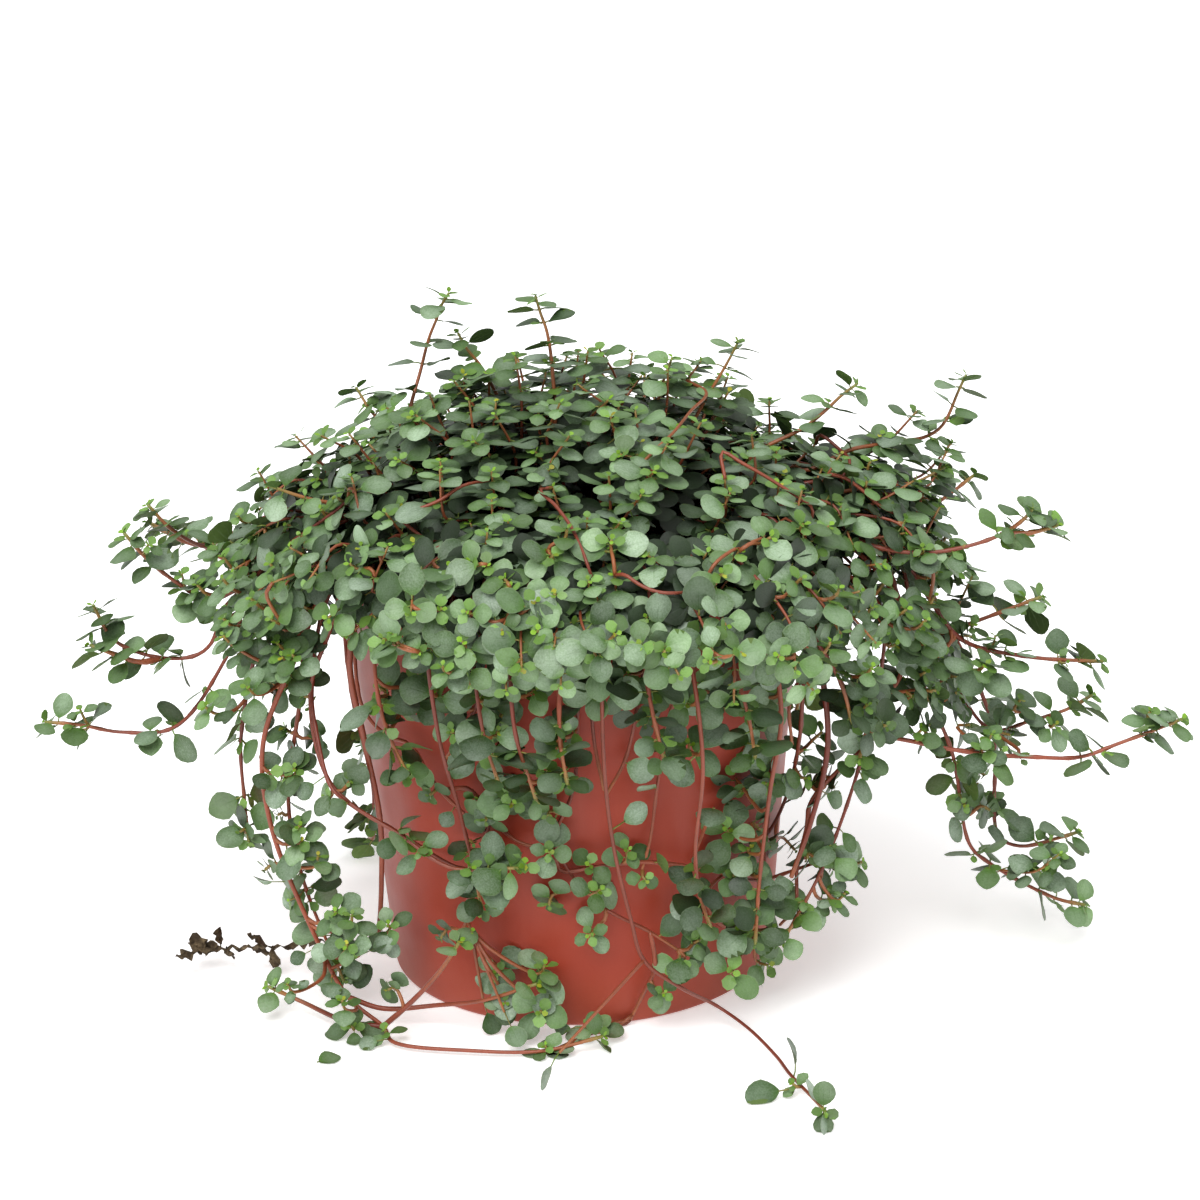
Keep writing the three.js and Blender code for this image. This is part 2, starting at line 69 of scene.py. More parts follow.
# Each trailing stem: the bearing at which it leaves the pot, and the points [bearing, reach, height] that it
# passes after the lip. "seen" gives further stops noted on the photo, after the name of what tells their
# depth: [pixel x, pixel y, millimetres] of an upright "plane", a "level" or a place off the pot's "wall".
# "leafy" is how much of its end bears leaves, where that isn't its side's usual. The lists in "branches" and
# "seenBranches" leave the stem at their first point.
trailing = {
    "stem_left_1": {"bearing": 181, "way": [[180, 84, 115]], "seen": [["plane", [202, 546, 10],
        [170, 528, 10], [148, 505, 10]]]},
    "stem_left_2": {"bearing": 186, "way": [[185, 85, 106]], "seen": [["plane", [206, 599, 2],
        [179, 584, 2], [148, 560, 2], [124, 533, 2]]]},
    "stem_left_3": {"bearing": 175, "way": [[176, 87, 100]], "seen": [["plane", [226, 607, 0],
        [210, 645, 0], [194, 656, 0], [163, 658, 0], [132, 650, 0], [112, 638, 0], [93, 605, 0]]],
        "seenBranches": [[["plane", [163, 658, 0], [140, 662, -3], [114, 654, -4], [90, 645, -4]]]]},
    "stem_left_4": {"bearing": 192, "way": [[190, 80, 112]], "seen": [["plane", [226, 658, -3],
        [175, 727, -3], [120, 732, -3], [81, 725, -3], [45, 722, -3]]]},
    "stem_left_5": {"bearing": 199, "leafy": 40.0, "way": [[197, 76, 112], [194, 82, 96], [193, 88, 69],
        [193, 88, 52], [195, 88, 42]]},
    "stem_left_6": {"bearing": 205, "leafy": 34.0, "way": [[204, 71, 114], [202, 75, 82], [201, 79, 55],
        [203, 77, 34], [210, 71, 8]]},
    "stem_left_7": {"bearing": 211, "leafy": 3.0, "way": [[210, 70, 117], [208, 76, 101], [204, 86, 74],
        [205, 86, 53], [210, 79, 24], [217, 75, 8], [225, 72, 2.2], [231, 76, 1.6], [246, 71, 1.6],
        [261, 67, 1.6], [274, 64, 4]], "branches": [[[225, 72, 2.2], [219, 77, 2.5], [208, 82, 4],
        [205, 89, 8]], [[217, 75, 8], [222, 69, 5], [232, 60, 6], [246, 61, 11], [259, 61, 17]],
        [[225, 72, 2.2], [231, 69, 10], [238, 67, 20], [243, 67, 29]]]},
    "stem_left_8": {"bearing": 217, "way": [[213, 72, 104], [208, 75, 86], [216, 76, 66], [232, 71, 56],
        [243, 70, 50], [257, 68, 51]]},
    "stem_front_1": {"bearing": 228, "way": [[229, 74, 104], [232, 76, 88], [236, 74, 74]]},
    "stem_front_2": {"bearing": 238, "way": [[241, 73, 105], [243, 73, 84], [243, 65, 64], [244, 61, 48],
        [247, 63, 36]]},
    "stem_front_3": {"bearing": 249, "way": [[251, 74, 104], [253, 76, 88], [255, 73, 74]]},
    "stem_front_4": {"bearing": 258, "way": [[258, 74, 106], [259, 77, 90], [262, 72, 70]]},
    "stem_front_5": {"bearing": 267, "way": [[267, 73, 105], [267, 77, 88], [268, 75, 76]]},
    "stem_front_6": {"bearing": 276, "leafy": 2.2, "way": [[275, 73, 104], [275, 72, 80], [277, 66, 57],
        [281, 63, 35], [284, 63, 23], [292, 65, 15]], "seen": [["level", [717, 1006, 6], [748, 1028, 4],
        [777, 1057, 2.5], [789, 1073, 2.5], [809, 1094, 2.5], [825, 1111, 5]]]},
    "stem_front_7": {"bearing": 284, "way": [[283, 74, 104], [284, 78, 90], [286, 77, 80]]},
    "stem_front_8": {"bearing": 292, "way": [[292, 75, 102], [293, 77, 78], [293, 72, 54], [295, 69, 41],
        [298, 68, 31]]},
    "stem_front_9": {"bearing": 300, "way": [[300, 75, 104], [301, 80, 90], [303, 79, 78]]},
    "stem_front_10": {"bearing": 309, "way": [[310, 74, 104], [311, 76, 85], [311, 72, 65], [311, 68, 40],
        [308, 70, 24]]},
    "stem_front_11": {"bearing": 318, "way": [[319, 76, 105], [322, 82, 92], [324, 84, 80]]},
    "stem_right_1": {"bearing": 330, "way": [[333, 79, 112], [336, 84, 103], [335, 81, 73], [327, 74, 40],
        [318, 68, 20]]},
    "stem_right_2": {"bearing": 338, "way": [], "seen": [["plane", [850, 537, -26], [880, 548, -28],
        [920, 553, -29], [960, 548, -29], [1000, 535, -30], [1024, 519, -31], [1033, 508, -31]]],
        "seenBranches": [[["plane", [1000, 535, -30], [1030, 533, -31], [1058, 525, -31]]]]},
    "stem_right_3": {"bearing": 344, "way": [[344, 84, 104], [343, 86, 84]], "seen": [["plane",
        [864, 725, -22], [920, 743, -24], [978, 753, -25], [1034, 757, -25], [1080, 757, -25],
        [1120, 743, -25], [1152, 731, -25], [1182, 719, -25]]]},
    "stem_right_4": {"bearing": 350, "way": [[351, 84, 111], [352, 92, 99], [353, 100, 88], [354, 117, 83],
        [355, 136, 81]]},
    "stem_right_5": {"bearing": 355, "way": [[356, 82, 112]], "seen": [["plane", [922, 680, -10],
        [952, 752, -8], [970, 845, -8], [988, 862, -8], [1055, 898, -8], [1085, 905, -8]]]},
    "stem_right_6": {"bearing": 1, "way": [[1, 79, 110], [1, 86, 92], [1, 95, 85], [1, 104, 88],
        [0, 121, 95]]},
    "stem_right_7": {"bearing": 6, "way": [[6, 82, 110], [5, 90, 92], [3, 98, 74]], "seen": [["plane",
        [990, 729, 0], [1033, 720, 0], [1070, 708, 0], [1092, 695, 0]]]},
    "stem_right_8": {"bearing": 13, "way": [[13, 86, 108], [12, 100, 84]], "seen": [["plane",
        [992, 725, 20], [999, 836, 20], [1020, 846, 19], [1058, 838, 18], [1078, 832, 18]]]},
    "stem_back_1": {"bearing": 23, "way": [[23, 86, 114], [23, 104, 108], [24, 120, 114]]},
    "stem_back_2": {"bearing": 36, "way": [[36, 82, 104], [37, 88, 84], [40, 85, 60], [42, 82, 44]]},
    "stem_back_3": {"bearing": 49, "way": [[49, 84, 112], [49, 96, 96], [48, 111, 90], [48, 124, 97]]},
    "stem_back_4": {"bearing": 62, "way": [[62, 77, 106], [63, 80, 84], [65, 76, 60], [69, 72, 36],
        [75, 76, 12], [81, 84, 2.8], [88, 95, 2.8]]},
    "stem_back_5": {"bearing": 75, "way": [[75, 84, 114], [76, 100, 110], [76, 115, 117]]},
    "stem_back_6": {"bearing": 88, "way": [[88, 82, 110], [89, 93, 90], [90, 104, 78], [90, 118, 82]]},
    "stem_back_7": {"bearing": 101, "way": [[101, 77, 106], [102, 79, 84], [103, 75, 60], [102, 71, 42]]},
    "stem_back_8": {"bearing": 114, "way": [[114, 85, 114], [114, 101, 106], [113, 116, 110]]},
    "stem_back_9": {"bearing": 127, "way": [[127, 79, 105], [128, 84, 86], [131, 82, 68]]},
    "stem_back_10": {"bearing": 140, "way": [[140, 78, 105], [141, 81, 80], [142, 78, 54], [139, 76, 30],
        [135, 82, 10], [130, 94, 3]]},
    "stem_back_11": {"bearing": 152, "way": [[152, 84, 112], [151, 97, 98], [150, 112, 94],
        [149, 124, 101]]},
    "stem_back_12": {"bearing": 164, "way": [[164, 86, 114], [164, 102, 106], [163, 118, 111]]},
}
bareRunners = {
    "runner_left": {"bearing": 222, "way": [
        [221, 73, 100], [220, 69, 78], [221, 66, 56], [218, 64, 36], [214, 63, 18]]},
    "runner_right": {"bearing": 324, "way": [[325, 73, 98], [325, 76, 72], [321, 74, 52], [316, 73, 40]]},
}
# Shoots that stand clear of the mound: where they leave it, and their further stops.
tallShoots = [
    {"from": [[180, 4, 143], [160, 4, 158], [145, 6, 168], [145, 8, 173], [147, 9, 177]]},
    {"from": [[180, 41, 143]], "seen": [["plane", [422, 365, 8], [429, 338, 8], [437, 318, 8],
        [442, 304, 7], [449, 293, 6]]]},
    {"from": [[0, 22, 136]], "seen": [["plane", [690, 425, 3], [708, 395, 3], [722, 372, 3], [732, 354, 3],
        [738, 342, 3]]]},
    {"from": [[2, 60, 130]], "seen": [["plane", [850, 450, 2], [875, 445, 4], [900, 441, 7], [925, 437, 9],
        [940, 428, 9], [948, 416, 10], [958, 392, 10], [966, 375, 10]]]},
    {"from": [[200, 55, 129], [199, 68, 133], [197, 78, 137]]},
    {"from": [[0, 46, 134]], "seen": [["plane", [805, 427, 0], [825, 411, 0], [842, 395, 0],
        [857, 384, 0]]]},
    {"from": [[155, 12, 138]], "seen": [["plane", [500, 400, 8], [480, 365, 8], [467, 349, 8],
        [458, 333, 8]]]},
    {"from": [[352, 58, 124]], "seen": [["plane", [842, 492, -10], [870, 487, -9], [915, 482, -8],
        [945, 467, -7]]]},
    {"from": [[0, 18, 140]], "seen": [["plane", [655, 410, 0], [662, 385, 2], [672, 358, 4]]]},
    {"from": [[72, 50, 126], [72, 66, 132], [74, 77, 139]]},
    {"from": [[130, 50, 126], [132, 66, 130], [132, 78, 132], [131, 88, 138]]},
]
# where stems stand in the soil, near or away from the wall, and how they pass over the lip
root = {"outer": 46.0, "inner": 36.0, "foot": 101.0, "upright": 14.5, "crest": 119.3, "over": 55, "past": 59,
        "clear": 68}
pathStep = 1.6  # length of a stem's segments


def unit(v):
    # each vector divided by its length
    return v / np.maximum(np.linalg.norm(v, axis=-1, keepdims=True), 1e-9)


def polar(points):
    # bearing, reach and height to x, y and z
    p = np.asarray(points, float)
    a = np.radians(p[..., 0])
    return np.stack([p[..., 1] * np.cos(a), p[..., 1] * np.sin(a), p[..., 2]], -1)


sightSteps = np.linspace(700, 1000, 3001)  # distances tried along a line of sight


def seenPlace(x, y, surface, offset):
    # the point that a pixel of the photo shows: where its line of sight crosses the upright plane or the
    # level at that offset, or first comes that near to the pot's wall or to the mound's outline
    camera, ahead, right, up = (np.array(photoView[k]) for k in ("place", "forward", "right", "up"))
    pixel = photoView["film"] / photoView["lens"] / photoView["pixels"]
    middle = photoView["pixels"] / 2
    sight = ahead + (x - middle) * pixel * right - (y - middle) * pixel * up
    if surface == "plane":
        return camera + sight * (offset - camera[1]) / sight[1]
    if surface == "level":
        return camera + sight * (offset - camera[2]) / sight[2]
    line = camera + sightSteps[:, None] * sight
    skin = potRadius(line[:, 2]) if surface == "wall" else moundRadius(line)
    gap = np.hypot(line[:, 0], line[:, 1]) - skin - offset
    return line[np.argmax(gap < 0)] if gap.min() < 0 else line[gap.argmin()]


def seenPath(groups):
    # the places of noted stops in their order, each group after the name of its surface
    stops = [(x, y, surface, offset) for surface, *group in groups for x, y, offset in group]
    return np.array([seenPlace(*stop) for stop in stops]).reshape(-1, 3)


def runOf(path):
    # the distance along a path at each of its points
    return np.concatenate([[0], np.cumsum(np.linalg.norm(np.diff(path, axis=0), axis=1))])


def atDistances(run, values, distance):
    # values that are known at a run's points, worked out for other distances along it
    return np.stack([np.interp(distance, run, values[:, k]) for k in range(3)], -1)


def throughPoints(points, step):
    # a centripetal Catmull-Rom curve through the points, then points a step apart along its length
    p = np.asarray(points, float)
    p = np.vstack([2 * p[0] - p[1], p, 2 * p[-1] - p[-2]])
    gap = np.sqrt(np.linalg.norm(np.diff(p, axis=0), axis=1))[:, None]
    a, b, c, d = p[:-3], p[1:-2], p[2:-1], p[3:]
    g0, g1, g2 = gap[:-2], gap[1:-1], gap[2:]
    inSlope = ((b - a) / g0 - (c - a) / (g0 + g1) + (c - b) / g1) * g1
    outSlope = ((c - b) / g1 - (d - b) / (g1 + g2) + (d - c) / g2) * g1
    t = np.linspace(0, 1, 20, endpoint=False)[None, :, None]
    b, c, inSlope, outSlope = b[:, None], c[:, None], inSlope[:, None], outSlope[:, None]
    fine = ((2 * t**3 - 3 * t**2 + 1) * b + (t**3 - 2 * t**2 + t) * inSlope
            + (3 * t**2 - 2 * t**3) * c + (t**3 - t**2) * outSlope)
    fine = np.vstack([fine.reshape(-1, 3), p[-2]])
    run = runOf(fine)
    return atDistances(run, fine, np.linspace(0, run[-1], max(3, int(round(run[-1] / step)) + 1)))


def lengthOf(path):
    return np.linalg.norm(np.diff(path, axis=0), axis=1).sum()


def alongPath(path, distance):
    # the point and the direction at each distance along a path
    run = runOf(path)
    return atDistances(run, path, distance), unit(atDistances(run, np.gradient(path, run, axis=0), distance))


def potRadius(z):
    # the outer radius of the pot at a height
    drop = pot["height"] - pot["lipDrop"]
    return np.interp(z, [0, drop, drop + pot["lipStep"], pot["height"]],
                     [pot["baseRadius"], pot["shoulderRadius"], pot["lipRadius"], pot["lipRadius"]])


growth = {
    "budBack": [0.0, 0.7, 1.8, 3.5],  # distance back from the tip of the four youngest pairs
    "budLength": [1.5, 3.2, 5.6, 7.3],  # blade lengths of those pairs
    "budStalk": [0.2, 0.5, 0.9, 1.3],
    "budRise": [1.6, 0.75, 0.34, 0.18],
    "budAge": [1.0, 0.66, 0.34, 0.18],
    "budTurn": [0.4, 0.55, 0.7, 0.8],  # how far they turn to the light
    "axilLength": [1.8, 4.4],  # small leaves in the axils
    "axilPlace": 0.7,  # how far out from the stem those start
    "groups": [0.7, 0.7, 1.9, 0.5, 0.5, 2.1, 0.5, 0.5, 2.2, 0.5],  # steps where pairs stand in groups
    "green": 9,  # length over which a stem turns from its old colour to its young one
}

# What each column of a leaf's row holds: where it starts, which way it leaves its stem, the stem's own
# direction, the light it turns to, its sizes, how steeply it rises, how young it is, how far it turns to the
# light, and how far it is darkened, as an old leaf and by painted shade.
leaf = {"foot": slice(0, 3), "out": slice(3, 6), "along": slice(6, 9), "light": slice(9, 12), "length": 12,
        "stalk": 13, "rise": 14, "age": 15, "turn": 16, "old": 17}


def leafRow(foot, out, along, light, length, stalk, turn, rise=0.0, age=0.0):
    # one leaf that isn't old and has no painted shade
    return np.array([[*foot, *out, *along, *light, length, stalk, rise, age, turn, 0.0]])


def growLeaves(path, start, spacing, size, light, budSize=1.0, budPairs=4, insideShadeAndAge=0.0, youth=0.12,
               widen=0.05, axils=0.35, grouped=False, tumble=0.22):
    # opposite pairs, each a quarter turn from the last: a tight bud, then steps that widen to the root, with
    # small young leaves in some of the axils. Returns one row for each leaf.
    total = lengthOf(path)
    back = np.array(growth["budBack"][:budPairs]) * budSize
    count = int(max(0, (total - start) / (spacing * 0.7))) + 1
    step = (0.75 + widen * np.arange(count)) * spacing * rng.uniform(0.75, 1.25, count)
    rest = back[-1] + np.cumsum(step * np.resize(growth["groups"], count) if grouped else step)
    back = np.concatenate([back, rest])
    length = np.concatenate([np.array(growth["budLength"][:budPairs]) * budSize,
                             size * rng.uniform(0.84, 1.14, count)])
    stalk = np.concatenate([np.array(growth["budStalk"][:budPairs]) * budSize,
                            size * rng.uniform(0.14, 0.32, count)])
    rise = np.concatenate([growth["budRise"][:budPairs], rng.uniform(-0.1, 0.35, count)])
    age = np.concatenate([growth["budAge"][:budPairs], rng.uniform(0.0, youth, count)])
    turn = np.concatenate([growth["budTurn"][:budPairs], rng.uniform(0.66, 0.94, count)])
    spin = rng.uniform(0, np.pi) + np.arange(len(back)) * np.pi / 2 + rng.normal(0, 0.12, len(back))
    keep = back < total - start
    back, length, stalk, rise, age, turn, spin = (
        a[keep] for a in (back, length, stalk, rise, age, turn, spin))
    foot, slope = alongPath(path, total - back)
    reference = np.where(np.abs(slope[:, 2:]) > 0.8, [[1.0, 0.3, 0]], [[0, 0, 1.0]])
    sideA = unit(np.cross(slope, reference))
    sideB = np.cross(slope, sideA)
    # leaves further back from the tip are darkened: the darker green of old leaves and painted shade inside
    # the plant
    old = np.clip((back - 5) / 12, 0, 1) * insideShadeAndAge
    rows = []
    for half in (0, np.pi):
        lean = rng.normal(0, 0.08, len(back))
        out = np.cos(spin + half + lean)[:, None] * sideA + np.sin(spin + half + lean)[:, None] * sideB
        aim = unit(light + rng.normal(0, tumble, (len(back), 3)))
        grow = rng.uniform(0.86, 1.08, len(back))
        grown = np.column_stack([foot, out, slope, aim, length * grow, stalk, rise, age, turn, old])
        rows.append(grown)
        budded = (back > 4) & (rng.random(len(back)) < axils)
        for way in (-1, 1):
            young = grown[budded].copy()
            outward, along = young[:, leaf["out"]].copy(), young[:, leaf["along"]]
            young[:, leaf["foot"]] += outward * growth["axilPlace"]
            young[:, leaf["out"]] = unit(outward * 0.5 + way * np.cross(along, outward) * 0.8)
            young[:, leaf["length"]] = rng.uniform(*growth["axilLength"], len(young))
            young[:, leaf["stalk"]] = 0.5
            young[:, leaf["rise"]] = 0.7
            young[:, leaf["age"]] = rng.uniform(0.4, 0.8, len(young))
            rows.append(young)
    return np.vstack(rows)


def lightAt(place):
    # leaves turn up, low ones on the near side to the bright side of the room, elsewhere away from the axis
    away = unit(np.array([place[0], place[1], 0.0]))
    near = np.clip(0.65 - place[1] / 90, 0, 1)
    front = near * (0.12 + 0.6 * np.clip((80 - place[2]) / 45, 0, 1))
    return unit(away * (0.45 - 0.38 * near) + np.array([0, -front, 0.8]))


def bladeTemplate(steps, columns, rings):
    # the two sides of a blade as one closed skin: rows from foot to tip, columns across. The lower side has
    # only its midline between the shared edges. Then the rings of its three-sided stalk.
    u = 0.5 - 0.5 * np.cos(np.pi * np.arange(steps + 1) / steps)
    v = np.linspace(-1, 1, columns + 1)
    inner = np.arange(1, steps)
    gridU, gridV = np.meshgrid(u[inner], v, indexing="ij")
    topU = np.concatenate([[0], gridU.ravel(), [1]])
    topV = np.concatenate([[0], gridV.ravel(), [0]])
    width = columns + 1
    tip = 1 + len(inner) * width
    top = 1 + np.arange(len(inner) * width).reshape(len(inner), width)
    low = np.column_stack([top[:, 0], tip + 1 + np.arange(len(inner)), top[:, -1]])

    def skin(grid, flip):
        quads = np.stack([grid[:-1, :-1], grid[1:, :-1], grid[1:, 1:], grid[:-1, 1:]], -1).reshape(-1, 4)
        first = [(0, a, b) for a, b in zip(grid[0, :-1], grid[0, 1:])]
        last = [(tip, b, a) for a, b in zip(grid[-1, :-1], grid[-1, 1:])]
        faces = [tuple(f) for f in quads] + first + last
        return [tuple(reversed(f)) for f in faces] if flip else faces

    allU = np.concatenate([topU, u[inner]])
    allV = np.concatenate([topV, np.zeros(len(inner))])
    isLow = np.concatenate([np.zeros(len(topU)), np.ones(len(inner))])
    rim = np.concatenate([np.abs(topV) > 0.99, np.zeros(len(inner), bool)])
    rim[[0, tip]] = True
    ring = len(allU) + np.arange(rings * stalkSides).reshape(rings, stalkSides)
    after = np.roll(ring, -1, 1)
    sides = np.stack([ring[:-1], after[:-1], after[1:], ring[1:]], -1).reshape(-1, 4)
    topFaces, lowFaces = skin(top, False), skin(low, True)
    stalkFaces = [tuple(f) for f in sides] + [tuple(reversed(ring[0])), tuple(ring[-1])]
    finish = [0] * len(topFaces) + [1] * len(lowFaces) + [2] * len(stalkFaces)
    return {"u": allU, "v": allV, "low": isLow, "rim": rim, "rings": rings,
            "faces": topFaces + lowFaces + stalkFaces, "finish": finish}


stalkSides = 3
grownBlade = bladeTemplate(steps=8, columns=4, rings=3)
smallBlade = bladeTemplate(steps=4, columns=2, rings=2)
smallest = 4.3  # blades shorter than this use the plainer template


# least gaps of a leaf to the pot's wall, outside and inside, and to the ground, and between its two sides
leafRoom = {"outside": 0.35, "inside": 0.5, "ground": 0.15, "sides": 0.22}


def leafGeometry(rows, blade):
    # every leaf at once. The blade's half-width is a superellipse, sharper at the foot than at the tip; it
    # is folded a little at its midline, domed or cupped across and bowed along its length; its stalk is a
    # three-sided tube that curves into the blade's foot.
    n = len(rows)
    foot, out, along, aim = (rows[:, leaf[k]] for k in ("foot", "out", "along", "light"))
    length, stalk, rise, age, turn, old = (rows[:, leaf[k]][:, None] for k in (
        "length", "stalk", "rise", "age", "turn", "old"))
    upper = unit(along * (1 - turn) + aim * turn)
    start = unit(out + rise * along)
    facing = np.sum(start * upper, -1, keepdims=True)
    axis = unit(start - (0.35 + 0.6 * turn) * facing * upper + rng.normal(0, 0.07, (n, 3)))
    upper = unit(upper - np.sum(upper * axis, -1, keepdims=True) * axis + rng.normal(0, 0.05, (n, 3)))
    upper = unit(upper - np.sum(upper * axis, -1, keepdims=True) * axis)
    across = np.cross(upper, axis)
    base = foot + stalk * (0.55 * start + 0.45 * axis)

    u, v = blade["u"][None, :], blade["v"][None, :]
    ratio = rng.uniform(0.8, 1.04, (n, 1))
    skew = u ** rng.uniform(0.92, 1.16, (n, 1))
    power = np.where(skew < 0.5, rng.uniform(1.25, 1.6, (n, 1)), rng.uniform(1.5, 2.0, (n, 1)))
    halfWidth = 0.5 * ratio * np.maximum(1 - np.abs(2 * skew - 1) ** power, 0) ** (1 / power)
    dome = rng.uniform(-0.14, 0.5, (n, 1)) * (1 - 0.4 * age)
    fold = rng.uniform(0.0, 0.3, (n, 1)) * (1 - 0.7 * u)
    bow = rng.uniform(-0.05, 0.36, (n, 1))
    crinkle = rng.uniform(-0.035, 0.035, (n, 1)) * np.sin(7 * u + rng.uniform(0, 6, (n, 1)))
    height = fold * np.abs(v) * halfWidth - dome * (v * halfWidth) ** 2 - bow * (u - 0.25) ** 2
    height = height + crinkle * np.abs(v)
    height = height - blade["low"][None, :] * 0.042 * (1 - v**2) * (1 - (2 * u - 1) ** 2) ** 0.5
    blades = (base[:, None] + length[:, None] * (u[..., None] * axis[:, None]
              + (v * halfWidth)[..., None] * across[:, None] + height[..., None] * upper[:, None]))

    t = np.linspace(0, 1, blade["rings"])[None, :, None]
    bend = foot + stalk * 0.5 * start
    into = base + length * 0.04 * axis
    line = (1 - t) ** 2 * foot[:, None] + 2 * t * (1 - t) * bend[:, None] + t**2 * into[:, None]
    angle = np.arange(stalkSides) * 2 * np.pi / stalkSides
    thick = np.clip(length * 0.04, 0.14, 0.34)
    ring = (np.cos(angle)[None, :, None] * across[:, None] + np.sin(angle)[None, :, None] * upper[:, None])
    tubes = line[:, :, None] + thick[:, :, None, None] * ring[:, None] * (1 - 0.35 * t[..., None])
    points = np.concatenate([blades, tubes.reshape(n, -1, 3)], 1)

    # keep leaves outside the pot's wall and above the surface, one side just above the other
    lift = np.concatenate([1 - blade["low"], np.full(blade["rings"] * stalkSides, 0.5)])
    lift = lift * leafRoom["sides"]
    reach = np.hypot(points[..., 0], points[..., 1])
    outside = np.hypot(foot[:, 0], foot[:, 1])[:, None] > potRadius(foot[:, 2])[:, None] - 1
    need = potRadius(points[..., 2]) + leafRoom["outside"] + lift[None, :]
    inside = outside & (reach < need) & (points[..., 2] < pot["height"] + 0.4)
    scale = np.where(inside, need / np.maximum(reach, 1), 1.0)
    most = potRadius(points[..., 2]) - pot["wall"] - leafRoom["inside"]
    within = ~outside & (reach > most) & (points[..., 2] < pot["height"] + 0.2) & (foot[:, 2] < 117)[:, None]
    scale = np.where(within, most / np.maximum(reach, 1), scale)
    points[..., :2] *= scale[..., None]
    points[..., 2] = np.maximum(points[..., 2], leafRoom["ground"] + lift[None, :])
    return points, age, old


def ringFaces(count, sides):
    # the faces between rings of points, and the fans to the two closing points that follow the rings
    index = np.arange(count * sides).reshape(count, sides)
    after = np.roll(index, -1, 1)
    quads = np.stack([index[:-1], after[:-1], after[1:], index[1:]], -1).reshape(-1, 4)
    low, high = np.full(sides, count * sides), np.full(sides, count * sides + 1)
    return quads, np.concatenate([np.stack([low, after[0], index[0]], -1),
                                  np.stack([high, index[-1], after[-1]], -1)])


def tube(path, radius, sides):
    # rings round a path, with a closing point at each end; the ring's first direction is the normal of the
    # plane that the path lies in
    centre = path - path.mean(0)
    normal = np.linalg.svd(centre, full_matrices=False)[2][2]
    slope = unit(np.gradient(path, axis=0))
    first = unit(normal - slope * (slope @ normal)[:, None])
    second = np.cross(slope, first)
    angle = np.arange(sides) * 2 * np.pi / sides
    ring = first[:, None] * np.cos(angle)[None, :, None] + second[:, None] * np.sin(angle)[None, :, None]
    skin = path[:, None] + radius[:, None, None] * ring
    points = np.vstack([skin.reshape(-1, 3), path[:1], path[-1:] + slope[-1:] * radius[-1] * 0.5])
    return (points, *ringFaces(len(path), sides))


def facingAt(place, face):
    # which way a rosette looks: out from the pot, up, down and out, or along the pot's wall
    away = unit(np.array([place[0], place[1], 0.0]))
    side = np.array([-away[1], away[0], 0])
    mixes = {"out": (0.6, 0, -0.25, 0.5), "up": (0.2, 0, -0.05, 0.95), "down": (0.5, 0, -0.2, -0.35),
             "edge": (0.2, 1, 0, 0.3)}
    outward, sideways, front, up = mixes[face]
    level = np.clip((place[2] - 55) / 40, 0, 1) * np.clip((abs(place[0]) - 48) / 20, 0, 1)
    return unit(away * outward + side * sideways + np.array([0, front, up + 0.9 * level]))


# a rosette's side shoot, or the stalk or the twig of a leaf alone
sideShoot = {
    "pairLength": 6.0,  # length of shoot that is wanted for each pair
    "pairLeafy": 6.2,  # length of its end that bears each pair
    "spacing": 5.0,
    "fullBud": 7.2,  # blade length at which its bud is full size
    "step": 1.4,
    "longestStalk": 9,
    "twigStalk": 4.0,
}


